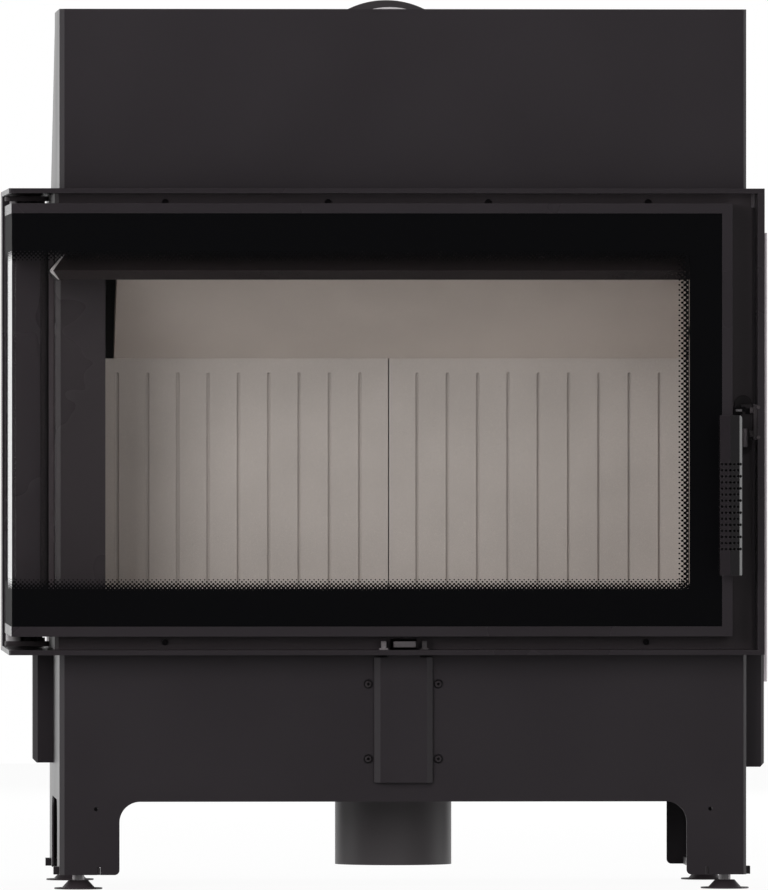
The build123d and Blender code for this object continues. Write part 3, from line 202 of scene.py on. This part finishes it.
# Deflector: a folded sheet above the panes that sends a curtain of air down them.
# The same paint, dulled by heat, with its mitred end at the glass corner.
# Its high edge gain paints a highlight along the nose's edges.
dress(paint("lintel_paint", srgb(36, 31, 32), 0.2, grain_size, edge_wear_and_highlight_gain=3.5), "lintel_deflector")


def cleared():
    """Leaves edit mode with nothing selected, ready for the next primitive."""
    if bpy.context.object and bpy.context.object.mode == "EDIT":
        bpy.ops.object.mode_set(mode="OBJECT")
    bpy.ops.object.select_all(action="DESELECT")


def finished(piece, name, finish, body, slot, *replaced):
    """Names a new piece, gives it its finish, and joins it to its body."""
    cleared()
    piece.name = piece.data.name = name
    piece.select_set(True)
    bpy.context.view_layer.objects.active = piece
    bpy.ops.object.transform_apply(location=True, rotation=True, scale=True)
    piece.data.materials.clear()
    piece.data.materials.append(finish)
    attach(piece, body)
    if replaced:
        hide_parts(*replaced)
    cleared()
    return piece


def plated(name, colour, roughness, metal=0.85):
    """Plated or blackened metal, with soft clouds in its brightness and gloss."""
    finish = new_finish(name)
    cloud = spread(finish, noise(finish, 6 * MM, 3), 0.3, 0.7)
    base = mix_colour(finish, cloud, [c * 0.85 for c in colour], [min(1, c * 1.12) for c in colour])
    edge, rounded = edge_line(finish, 0.4 * MM)
    edge_share = maths(finish, "MULTIPLY", edge, 0.5)
    base = mix_colour(finish, edge_share, base, [min(1, c * 1.5) for c in colour])
    gloss = maths(finish, "MULTIPLY_ADD", cloud, 0.12, roughness)
    feeds = {"Base Color": base, "Roughness": gloss, "Metallic": metal, "Normal": rounded}
    return finish_out(finish, add(finish, "ShaderNodeBsdfPrincipled", feeds).outputs[0])


# Mitre weld of the deflector: a ground bead down the corner of the folded nose.
# It is bare steel, brighter than the paint, and thins out away from the nose tip.
weld_steel = plated("weld_steel", srgb(196, 190, 192), 0.34, 0.2)
nose_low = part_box("lintel_deflector")[0]
nose_tip = Vector((nose_low.x, nose_low.y, nose_low.z + 9.1 * MM))
nose_back = nose_tip + Vector((16.2, 16.2, 20.3)) * MM
nose_foot = nose_tip + Vector((8.1, 8.1, -9.1)) * MM
for number, (start, end) in enumerate(((nose_tip, nose_back), (nose_tip, nose_foot)), 1):
    run = end - start
    bpy.ops.mesh.primitive_cylinder_add(
        vertices=16,
        radius=1.6 * MM,
        depth=run.length,
        location=(start + end) / 2 + Vector((0.5, 0.5, 0)) * MM,
        rotation=run.to_track_quat("Z", "Y").to_euler(),
    )
    bead = bpy.context.object
    bpy.ops.object.mode_set(mode="EDIT")
    bpy.ops.mesh.select_all(action="SELECT")
    bpy.ops.mesh.subdivide(number_cuts=6)
    bpy.ops.object.mode_set(mode="OBJECT")
    for corner in bead.data.vertices:
        away = corner.co.z / run.length + 0.5
        swell = (1.0 - 0.75 * away**2) * (1.0 + 0.06 * (-1) ** round(away * 40))
        corner.co.x *= swell
        corner.co.y *= swell
    for face in bead.data.polygons:
        face.use_smooth = True
    finished(bead, f"mitre_bead_{number}", weld_steel, "casing", "firebox_steel")


# Firebox shell, dome, air box and flue: welded steel plate, coated with dark flue paint.
# The outlet is two mitred halves, the lower one paler, over a spigot for outside air.
firebox_paint = paint("firebox_paint", srgb(40, 38, 38), 0.6, 1.4 * MM)
dress(
    firebox_paint,
    "firebox_shell",
    "smoke_dome",
    "baffle_support_bar",
    "air_box",
    "shutter_guides",
)
dress(
    paint("flue_paint", srgb(70, 66, 68), 0.42, grain_size),
    "flue_outlet_pipe",
    "flue_base_ring",
    "flue_retaining_ring",
)
dress(paint("spigot_paint", srgb(82, 78, 80), 0.42, grain_size), "air_spigot")
dress(paint("elbow_paint", srgb(182, 178, 180), 0.4, grain_size), "flue_elbow")


# Lining: pressed tiles of a pale, porous fireproof board, grooved at the back of the firebox.
# They are laid loose on the shell, and the baffle rests on the rear tiles and a bar.
def tile_finish(name, colour):
    """Pressed board: pale grains in a fine, porous, slightly uneven body."""
    finish = new_finish(name)
    cloud = spread(finish, noise(finish, 0.09, 4), 0.35, 0.65)
    fleck = spread(finish, noise(finish, 1.6 * MM, 2), 0.55, 0.72)
    pore = spread(finish, noise(finish, 2.4 * MM, 3), 0.34, 0.24)
    base = mix_colour(finish, cloud, [c * 0.96 for c in colour], [c * 1.04 for c in colour])
    base = mix_colour(finish, maths(finish, "MULTIPLY", fleck, 0.12), base, (0.8, 0.76, 0.68))
    pore_share = maths(finish, "MULTIPLY", pore, 0.25)
    base = mix_colour(finish, pore_share, base, [c * 0.6 for c in colour])
    edge, rounded = edge_line(finish, 1.2 * MM)
    edge_share = maths(finish, "MULTIPLY", edge, 0.35)
    base = mix_colour(finish, edge_share, base, [c * 1.2 for c in colour])
    height = maths(finish, "MULTIPLY_ADD", pore, -1.0, maths(finish, "MULTIPLY", fleck, 0.4))
    rise = {"Height": height, "Normal": rounded, "Strength": 0.4, "Distance": 0.15 * MM}
    bump = add(finish, "ShaderNodeBump", rise).outputs[0]
    feeds = {"Base Color": base, "Roughness": 0.9, "Normal": bump, "Specular IOR Level": 0.2}
    return finish_out(finish, add(finish, "ShaderNodeBsdfPrincipled", feeds).outputs[0])


tile_body = tile_finish("tile_body", srgb(190, 182, 178))
dress(
    tile_body,
    "rear_tile_left",
    "rear_tile_right",
    "right_side_tile",
    "left_side_tile",
    "hearth_tiles",
)
dress(tile_finish("baffle_body", srgb(203, 193, 187)), "baffle_plate")


# Fastenings: zinc-plated studs, pins and ring screws, and a blackened cam, spindle and shutter.
# The studs screw into the plates in the legs.
zinc = plated("zinc", srgb(176, 172, 174), 0.36, 0.35)
black_steel = plated("black_steel", srgb(62, 60, 62), 0.38)
leg_corners = ("front_left", "front_right", "rear_left", "rear_right")
dress(zinc, *(f"foot_stud_{corner}" for corner in leg_corners))
dress(zinc, "hinge_pins", "thrust_washer", "flue_ring_screws")
dress(black_steel, "latch_cam", "handle_spindle", "air_shutter")
satin_zinc = plated("satin_zinc", srgb(150, 146, 148), 0.42, 0.3)
screw_grey = paint("screw_grey", srgb(62, 57, 59), 0.3, grain_size, edge_wear_and_highlight_gain=2.5)
dress(screw_grey, "strike_bolts")

# Hinge plates: thick painted plates with rounded corners, above and below the door on the left.
# They are bolted to the flanges and carry the hinge pins.
hinge_paint = paint("hinge_paint", srgb(60, 55, 57), 0.4, grain_size)
for name in ("hinge_plate_top", "hinge_plate_bottom"):
    low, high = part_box(name)
    bpy.ops.mesh.primitive_cube_add(size=1, location=(0, 0, 0))
    plate = bpy.context.object
    bpy.ops.object.mode_set(mode="EDIT")
    bpy.ops.mesh.select_all(action="SELECT")
    bpy.ops.transform.resize(value=high - low)
    bpy.ops.transform.translate(value=(low + high) / 2)
    bpy.ops.mesh.select_mode(type="EDGE")
    bpy.ops.mesh.select_all(action="DESELECT")
    bpy.ops.object.mode_set(mode="OBJECT")
    for edge in plate.data.edges:
        first, second = (plate.data.vertices[end].co for end in edge.vertices)
        edge.select = abs(first.z - second.z) > 1 * MM
    bpy.ops.object.mode_set(mode="EDIT")
    bpy.ops.mesh.bevel(offset=5 * MM, segments=5, affect="EDGES")
    bpy.ops.mesh.select_all(action="SELECT")
    bpy.ops.mesh.bevel(offset=0.4 * MM, segments=2, affect="EDGES", clamp_overlap=True)
    finished(plate, f"{name}_rounded", hinge_paint, "casing", "frame_paint", name)

# Strike plate, hinge bolts, lugs of the air knob and foot pads.
# Painted or blackened steel, and dark moulded plastic for the pads.
dress(paint("strike_paint", srgb(46, 42, 44), 0.3, grain_size), "strike_plate")
# The black bolt heads get a painted highlight round their edges from the high edge gain.
bolt_black = paint("bolt_black", srgb(24, 22, 24), 0.35, grain_size, edge_wear_and_highlight_gain=6.0)
dress(bolt_black, "hinge_bolts")
# The lugs right of 15 mm are darker with painted shade.
lug_paint = paint("lug_paint", srgb(128, 122, 124), 0.4, grain_size, painted_shade_from_x=15 * MM)
dress(lug_paint, "control_guides")
pad_plastic = paint("pad_plastic", srgb(60, 54, 57), 0.45, 1.2 * MM)
dress(pad_plastic, *(f"foot_pad_{corner}" for corner in leg_corners))


def head(name, centre, radius, height, finish, socket, body, slot):
    """A round screw head that faces the front, rounded at its rim, with a socket in its middle."""
    bpy.ops.mesh.primitive_cylinder_add(
        vertices=28,
        radius=radius,
        depth=height,
        end_fill_type="NGON",
        location=centre - Vector((0, height / 2, 0)),
        rotation=(radians(90), 0, 0),
    )
    screw = bpy.context.object
    bpy.ops.object.mode_set(mode="EDIT")
    bpy.ops.mesh.select_mode(type="FACE")
    bpy.ops.mesh.select_all(action="DESELECT")
    bpy.ops.object.mode_set(mode="OBJECT")
    for face in screw.data.polygons:
        face.select = face.normal.z > 0.9
    bpy.ops.object.mode_set(mode="EDIT")
    bpy.ops.mesh.bevel(offset=height * 0.4, segments=3, affect="EDGES")
    bpy.ops.object.mode_set(mode="OBJECT")
    for face in screw.data.polygons:
        face.select = face.normal.z > 0.99
    bpy.ops.object.mode_set(mode="EDIT")
    bpy.ops.mesh.inset(thickness=radius * socket)
    bpy.ops.mesh.extrude_region_move(TRANSFORM_OT_translate={"value": (0, height * 0.6, 0)})
    bpy.ops.object.mode_set(mode="OBJECT")
    return finished(screw, name, finish, body, slot)


# Screws of the rim: black dome heads, four along the top and two along the foot, in the recess.
# They hold the rim to the flanges, half hidden behind the door's bars.
rim_low, rim_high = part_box("door_rim")
rim_face = rim_low.y
# The high edge gain of this black paints a highlight round the heads' rims.
screw_black = paint("screw_black", srgb(18, 16, 18), 0.3, grain_size, edge_wear_and_highlight_gain=8.0)
upper_row, lower_row = 699.8, 252.0
rim_screws = [(x, upper_row) for x in (-228.0, -62.2, 101.3, 264.1)]
rim_screws += [(x, lower_row) for x in (-228.0, 262.0)]
for number, (x, z) in enumerate(rim_screws, 1):
    place = Vector((x * MM, rim_face, z * MM))
    name = f"rim_screw_{number}"
    head(name, place, 3.3 * MM, 2.4 * MM, screw_black, 0.45, "casing", "black_steel")

# Screws of the air box: a dark washer with a painted highlight on its rim, a grey button head, and
# a black disc in its socket that is painted shade.
# There are two on each side of the cover.
cover_low, cover_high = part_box("air_box_screws")
painted_socket_shade = paint("painted_socket_shade", srgb(6, 5, 6), 0.6, grain_size, edge_wear_and_highlight_gain=1.0)
button_grey = paint("button_grey", srgb(44, 40, 42), 0.35, grain_size, edge_wear_and_highlight_gain=2.5)
sheet_face = cover_high.y
half_head = 4.5 * MM
columns = (cover_low.x + half_head, cover_high.x - half_head)
rows = (cover_low.z + half_head, cover_high.z - half_head)
for number, (x, z) in enumerate(((x, z) for x in columns for z in rows), 1):
    place = Vector((x, sheet_face, z))
    pit = place - Vector((0, 2.3 * MM, 0))
    ride_and_slot = ("casing", "black_steel")
    head(f"cover_washer_{number}", place, 4.9 * MM, 0.9 * MM, screw_black, 0.3, *ride_and_slot)
    name = f"cover_screw_{number}"
    button = head(name, place, 3.4 * MM, 2.8 * MM, button_grey, 0.5, *ride_and_slot)
    head(f"cover_socket_{number}", pit, 1.5 * MM, 0.7 * MM, painted_socket_shade, 0.6, *ride_and_slot)
    if number == 1:
        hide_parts("air_box_screws")

# Corner tab: a folded ear at the top of the upright, which closes the slit beside the rim.
# The same sheet as the frame, scraped pale.
upright_low, upright_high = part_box("frame_right_upright")
bpy.ops.mesh.primitive_cube_add(size=1, location=(0, 0, 0))
tab = bpy.context.object
bpy.ops.object.mode_set(mode="EDIT")
bpy.ops.mesh.select_all(action="SELECT")
bpy.ops.transform.resize(value=(upright_low.x - rim_high.x + 1.2 * MM, 2 * MM, 14 * MM))
bpy.ops.transform.translate(
    value=((upright_low.x + rim_high.x) / 2 - 0.6 * MM, rim_face - 1 * MM, upright_high.z - 7 * MM)
)
bpy.ops.mesh.bevel(offset=0.5 * MM, segments=2, affect="EDGES")
tab_paint = paint("tab_paint", srgb(84, 79, 82), 0.3, grain_size)
finished(tab, "corner_tab", tab_paint, "casing", "frame_paint")

# Latch: a plate on the rim behind the handle, with a screw, and a roller that the cam rides past.
# The plate is blackened sheet with a rounded foot, and the roller is turned steel.
# Their shapes are guessed from small dark and pale patches.
strike_low, strike_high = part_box("strike_plate")
bpy.ops.mesh.primitive_cylinder_add(
    vertices=32,
    radius=9.2 * MM,
    depth=1.2 * MM,
    end_fill_type="NGON",
    location=(strike_low.x + 2.8 * MM, rim_face - 0.6 * MM, strike_low.z - 6.0 * MM),
    rotation=(radians(90), 0, 0),
)
latch_plate = bpy.context.object
bpy.ops.object.mode_set(mode="EDIT")
bpy.ops.mesh.select_mode(type="VERT")
bpy.ops.mesh.select_all(action="DESELECT")
bpy.ops.object.mode_set(mode="OBJECT")
for corner in latch_plate.data.vertices:
    corner.select = corner.co.y > 0
bpy.ops.object.mode_set(mode="EDIT")
bpy.ops.transform.translate(value=(0, 0, 42 * MM))
bpy.ops.mesh.select_all(action="SELECT")
bpy.ops.mesh.bevel(offset=0.25 * MM, segments=2, affect="EDGES")
latch_black = paint("latch_black", srgb(42, 38, 40), 0.4, grain_size, edge_wear_and_highlight_gain=0.6)
finished(latch_plate, "latch_plate", latch_black, "casing", "black_steel")
bpy.ops.mesh.primitive_cylinder_add(
    vertices=24,
    radius=2.4 * MM,
    depth=19 * MM,
    location=(strike_low.x + 4.0 * MM, strike_low.y + 28.0 * MM, strike_low.z + 2.0 * MM),
)
roller = bpy.context.object
bpy.ops.object.mode_set(mode="EDIT")
bpy.ops.mesh.select_mode(type="FACE")
bpy.ops.mesh.select_all(action="DESELECT")
bpy.ops.object.mode_set(mode="OBJECT")
for face in roller.data.polygons:
    face.select = abs(face.normal.z) > 0.9
bpy.ops.object.mode_set(mode="EDIT")
bpy.ops.mesh.bevel(offset=1.1 * MM, segments=3, affect="EDGES")
bpy.ops.object.mode_set(mode="OBJECT")
for face in roller.data.polygons:
    face.use_smooth = True
roller_steel = paint("roller_steel", srgb(110, 104, 107), 0.3, grain_size)
finished(roller, "latch_roller", roller_steel, "casing", "black_steel")
# The three black bars stand for the shade in the plate's cutouts: they are painted shade, with
# painted highlights on their edges.
catch_y = strike_high.y - 4 * MM
for name, left, right, low, top, depth, finish in (
    ("cutout_shade_left", -8.0, 1.8, 26.0, 33.5, 1.0, screw_black),
    ("cutout_shade_right", 4.2, 10.4, 26.0, 32.0, 1.0, screw_black),
    ("cutout_shade_bar", 1.0, 5.0, 28.5, 33.5, 0.8, screw_black),
    ("catch_pin", -5.6, 0.8, 28.6, 31.2, 2.2, satin_zinc),
):
    bpy.ops.mesh.primitive_cube_add(size=1, location=(0, 0, 0))
    bar = bpy.context.object
    bpy.ops.object.mode_set(mode="EDIT")
    bpy.ops.mesh.select_all(action="SELECT")
    bpy.ops.transform.resize(value=((right - left) * MM, depth * MM, (top - low) * MM))
    centre = Vector((left + right, 0, low + top)) * MM / 2
    bpy.ops.transform.translate(
        value=Vector((strike_low.x, catch_y - depth / 2 * MM, strike_low.z)) + centre
    )
    bpy.ops.mesh.bevel(offset=0.45 * MM, segments=3, affect="EDGES")
    finished(bar, name, finish, "casing", "black_steel")
for number, rise in enumerate((2.6, 33.0), 1):
    place = Vector((upright_low.x + 0.6 * MM, upright_low.y, strike_low.z + rise * MM))
    name = f"upright_screw_{number}"
    head(name, place, 1.9 * MM, 0.8 * MM, hinge_paint, 0.5, "casing", "frame_paint")

# Tabs of the foot plates: they fill the slots low in the front legs, just behind the face.
# Dark sheet, part of the plate that the levelling stud screws into.
leg_low, leg_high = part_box("base_casing")
slot_inset = 39.8 * MM
slots = (("slot_tab_left", leg_low.x + slot_inset), ("slot_tab_right", leg_high.x - slot_inset))
for name, x in slots:
    bpy.ops.mesh.primitive_cube_add(size=1, location=(0, 0, 0))
    tab = bpy.context.object
    bpy.ops.object.mode_set(mode="EDIT")
    bpy.ops.mesh.select_all(action="SELECT")
    bpy.ops.transform.resize(value=(3.2 * MM, 7 * MM, 7.6 * MM))
    bpy.ops.transform.translate(value=(x, leg_low.y + 3.9 * MM, leg_low.z + 3.9 * MM))
    bpy.ops.mesh.bevel(offset=0.3 * MM, segments=2, affect="EDGES")
    finished(tab, name, latch_black, "casing", "frame_paint")

# Air control: a flat knob in front of the frame, on a rod that slides the shutter.
# Satin painted steel, rubbed by fingers.
dress(paint("knob_paint", srgb(78, 74, 76), 0.35, grain_size), "air_control_knob")

# Door: an angle-section frame, painted like the frame, and an upright channel handle.
# A knitted rope seals it against the rim. The handle is folded and perforated sheet.
# The door frame's deep front faces, its rear stile, are paler with painted light.
door_paint = paint("door_paint", srgb(41, 37, 40), 0.26, grain_size, painted_light_depth=0.07)
dress(door_paint, "door_frame")
# Right of the ridge the handle is darker with painted shade on its right face.
handle_paint = paint("handle_paint", srgb(35, 31, 34), 0.22, grain_size, painted_shade_from_x=342.7 * MM)
dress(handle_paint, "handle_grip")


def rope(name):
    """Knitted glass rope: fine dark loops with a soft, uneven nap."""
    finish = new_finish(name)
    loops = spread(finish, noise(finish, 1.5 * MM, 2), 0.3, 0.7)
    base = mix_colour(finish, loops, srgb(36, 33, 35), srgb(50, 46, 48))
    rise = {"Height": loops, "Strength": 0.6, "Distance": 0.3 * MM}
    bump = add(finish, "ShaderNodeBump", rise).outputs[0]
    feeds = {"Base Color": base, "Roughness": 0.95, "Normal": bump, "Specular IOR Level": 0.1}
    return finish_out(finish, add(finish, "ShaderNodeBsdfPrincipled", feeds).outputs[0])


seal_rope = rope("seal_rope")
dress(seal_rope, "glass_bedding")
rope_radius = 4.4 * MM
rope_bend = 6.0 * MM
seal_low, seal_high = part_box("door_seal")
seal_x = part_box("door_rim")[0].x - rope_radius + 0.3 * MM
seal_y = seal_low.y + 2.8 * MM
rope_stops = (
    Vector((seal_high.x - rope_radius, seal_y, seal_low.z + rope_radius)),
    Vector((seal_x, seal_y, seal_low.z + rope_radius)),
    Vector((seal_x, seal_high.y - rope_radius, seal_low.z + rope_radius)),
    Vector((seal_x, seal_high.y - rope_radius, seal_high.z - rope_radius)),
    Vector((seal_x, seal_y, seal_high.z - rope_radius)),
    Vector((seal_high.x - rope_radius, seal_y, seal_high.z - rope_radius)),
)
rope_start = (rope_stops[0] + rope_stops[1]) / 2
bpy.ops.mesh.primitive_circle_add(
    vertices=14,
    radius=rope_radius,
    location=rope_start,
    rotation=(0, radians(90), 0),
)
door_rope = bpy.context.object
bpy.ops.object.mode_set(mode="EDIT")
bpy.ops.mesh.select_all(action="SELECT")
reached = rope_start
for corner, after in zip(rope_stops[1:] + rope_stops[:1], rope_stops[2:] + rope_stops[:2]):
    onward = (corner - reached).normalized()
    turned = (after - corner).normalized()
    step = corner - rope_bend * onward - reached
    bpy.ops.mesh.extrude_region_move(TRANSFORM_OT_translate={"value": step})
    pivot = corner - rope_bend * onward + rope_bend * turned
    bpy.ops.mesh.spin(steps=4, angle=radians(-90), center=pivot, axis=onward.cross(turned))
    reached = corner + rope_bend * turned
bpy.ops.mesh.extrude_region_move(TRANSFORM_OT_translate={"value": rope_start - reached})
bpy.ops.mesh.select_all(action="SELECT")
bpy.ops.mesh.remove_doubles(threshold=0.1 * MM)
bpy.ops.mesh.normals_make_consistent(inside=False)
bpy.ops.mesh.faces_shade_smooth()
finished(door_rope, "door_rope", seal_rope, "door", "seal_rope", "door_seal")

# Panes: 4 mm ceramic glass, butted at the corner with no post, and held by the door's frame.
# A black border is printed behind them, and fades inwards through rows of dots.
pane_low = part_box("front_glass")[0]
dot_band = 11.4 * MM
dots_bottom = 305.6 * MM
dots_top = 650.8 * MM
dots_right = pane_low.x + (691.9 - 3.0) * MM
dot_pitch = 4.45 * MM
dot_row = 2.15 * MM
side_dot_pitch = 5.15 * MM
side_dot_row = 2.85 * MM


def screen(finish, along, across, pitch, row, fade):
    """A staggered screen of dots that grow as fade goes from 0 to 1."""
    wave_along = maths(finish, "COSINE", maths(finish, "MULTIPLY", along, 6.2832 / pitch))
    wave_across = maths(finish, "COSINE", maths(finish, "MULTIPLY", across, 3.1416 / row))
    screen_value = maths(finish, "MULTIPLY", wave_along, wave_across)
    limit = maths(finish, "MULTIPLY_ADD", fade, -1.5, 0.75)
    return spread(finish, maths(finish, "SUBTRACT", screen_value, limit), -0.06, 0.06)


def pane(name, front):
    """Clear glass with its printed border, for the front pane or for the side pane."""
    finish = new_finish(name)
    place = add(finish, "ShaderNodeTexCoord").outputs["Object"]
    x, y, z = add(finish, "ShaderNodeSeparateXYZ", {"Vector": place}).outputs
    across = x if front else y
    low_fade = spread(finish, z, dots_bottom + dot_band, dots_bottom)
    high_fade = spread(finish, z, dots_top - dot_band, dots_top)
    fade = maths(finish, "MAXIMUM", low_fade, high_fade)
    dots = screen(finish, across, z, dot_pitch, dot_row, fade)
    banded = maths(finish, "GREATER_THAN", fade, 0.001)
    border = maths(finish, "MULTIPLY", dots, banded)
    solid = maths(finish, "GREATER_THAN", fade, 0.999)
    border = maths(finish, "MAXIMUM", border, solid)
    if front:
        right_fade = spread(finish, x, dots_right - 12.3 * MM, dots_right)
        right_dots = screen(finish, z, x, side_dot_pitch, side_dot_row, right_fade)
        right_band = maths(finish, "GREATER_THAN", right_fade, 0.001)
        right_dots = maths(finish, "MULTIPLY", right_dots, right_band)
        line = maths(finish, "LESS_THAN", x, dots_right - 0.9 * MM)
        right_dots = maths(finish, "MULTIPLY", right_dots, line)
        right_solid = maths(finish, "GREATER_THAN", right_fade, 0.999)
        border = maths(finish, "MAXIMUM", border, maths(finish, "MAXIMUM", right_dots, right_solid))
    clear = add(finish, "ShaderNodeBsdfTransparent", {"Color": (0.985, 0.985, 0.98, 1)})
    shine = add(finish, "ShaderNodeBsdfGlossy", {"Color": (0.9, 0.9, 0.9, 1), "Roughness": 0.03})
    slant = add(finish, "ShaderNodeLayerWeight", {"Blend": 0.5}).outputs["Facing"]
    share = maths(finish, "MULTIPLY_ADD", maths(finish, "POWER", slant, 5.0), 0.966, 0.034)
    glass = add(finish, "ShaderNodeMixShader", {0: share, 1: clear.outputs[0], 2: shine.outputs[0]})
    feeds = {"Base Color": (0.0025, 0.0025, 0.003, 1), "Roughness": 0.72, "Specular IOR Level": 0.1}
    print_coat = add(finish, "ShaderNodeBsdfPrincipled", feeds)
    mixed = {0: border, 1: glass.outputs[0], 2: print_coat.outputs[0]}
    return finish_out(finish, add(finish, "ShaderNodeMixShader", mixed).outputs[0])


dress(pane("front_pane", True), "front_glass")
dress(pane("side_pane", False), "side_glass")

# Room: a pale floor, a white backdrop that the camera, metal and glass see, and soft plain lamps.
# Behind and beside the object the room mirrors white, and in front it mirrors dim.
world = bpy.data.worlds.new("room")
bpy.context.scene.world = world
world.use_nodes = True
world.node_tree.nodes.clear()
path = add(world, "ShaderNodeLightPath").outputs
direction = add(world, "ShaderNodeTexCoord").outputs["Generated"]
forward = add(world, "ShaderNodeSeparateXYZ", {"Vector": direction}).outputs["Y"]
plain_level = 0.33
front_level = 0.03
behind = spread(world, forward, -0.5, 0.05, True)
mirrored = maths(world, "MULTIPLY_ADD", behind, 0.97, front_level)
change = maths(world, "SUBTRACT", mirrored, plain_level)
level = maths(world, "MULTIPLY_ADD", path["Is Glossy Ray"], change, plain_level)
seen = maths(world, "MAXIMUM", path["Is Camera Ray"], path["Is Transmission Ray"])
level = maths(world, "MULTIPLY_ADD", seen, maths(world, "SUBTRACT", 1.0, level), level)
sky = add(world, "ShaderNodeBackground", {"Color": (1, 1, 1, 1), "Strength": level})
add(world, "ShaderNodeOutputWorld", {"Surface": sky.outputs[0]})

bpy.ops.mesh.primitive_plane_add(size=12, location=(0, 0, 0))
floor = bpy.context.object
floor.name = "floor"
pale = new_finish("pale_floor")
ray = add(pale, "ShaderNodeLightPath").outputs["Is Camera Ray"]
matt = add(pale, "ShaderNodeBsdfDiffuse", {"Color": (0.9, 0.9, 0.9, 1)}).outputs[0]
white = add(pale, "ShaderNodeEmission", {"Color": (1, 1, 1, 1), "Strength": 1.0}).outputs[0]
share = maths(pale, "MULTIPLY", ray, 0.95)
finish_out(pale, add(pale, "ShaderNodeMixShader", {0: share, 1: matt, 2: white}).outputs[0])
floor.data.materials.append(pale)
floor.visible_glossy = False


def lamp(name, place, target, size, watts):
    """A soft square lamp that points at a target."""
    light = bpy.data.lights.new(name, "AREA")
    light.size = size
    light.energy = watts
    holder = bpy.data.objects.new(name, light)
    bpy.context.scene.collection.objects.link(holder)
    holder.location = place
    holder.visible_glossy = False
    holder.rotation_euler = (Vector(target) - Vector(place)).to_track_quat("-Z", "Y").to_euler()
    return holder


middle = Vector((0, 0, 0.45))
lamp("key_lamp", (-2.0, -4.0, 1.4), middle, 2.0, 105)
lamp("front_lamp", (0.9, -4.6, 0.5), middle, 2.4, 45)
lamp("top_lamp", (0, 0.6, 3.6), middle, 2.4, 40)
lamp("rear_lamp", (0.8, 3.8, 1.8), middle, 2.4, 60)
lamp("side_lamp", (3.3, 1.5, 0.6), middle, 1.6, 8).visible_glossy = True

# Camera: far off and slightly to the left, as the photograph was taken.
# A very long lens keeps the object's sides nearly parallel.
camera_place = Vector((-0.7816, -18.4325, 0.5086))
camera_aim = Vector((-0.0070, -0.2325, 0.4528))
camera = bpy.data.cameras.new("camera")
camera.sensor_width = 36
camera.lens = 725.7
camera.clip_end = 200
camera_holder = bpy.data.objects.new("camera", camera)
bpy.context.scene.collection.objects.link(camera_holder)
camera_holder.location = camera_place
camera_holder.rotation_euler = (camera_aim - camera_place).to_track_quat("-Z", "Y").to_euler()
bpy.context.scene.camera = camera_holder
bpy.context.scene.view_settings.view_transform = "Standard"
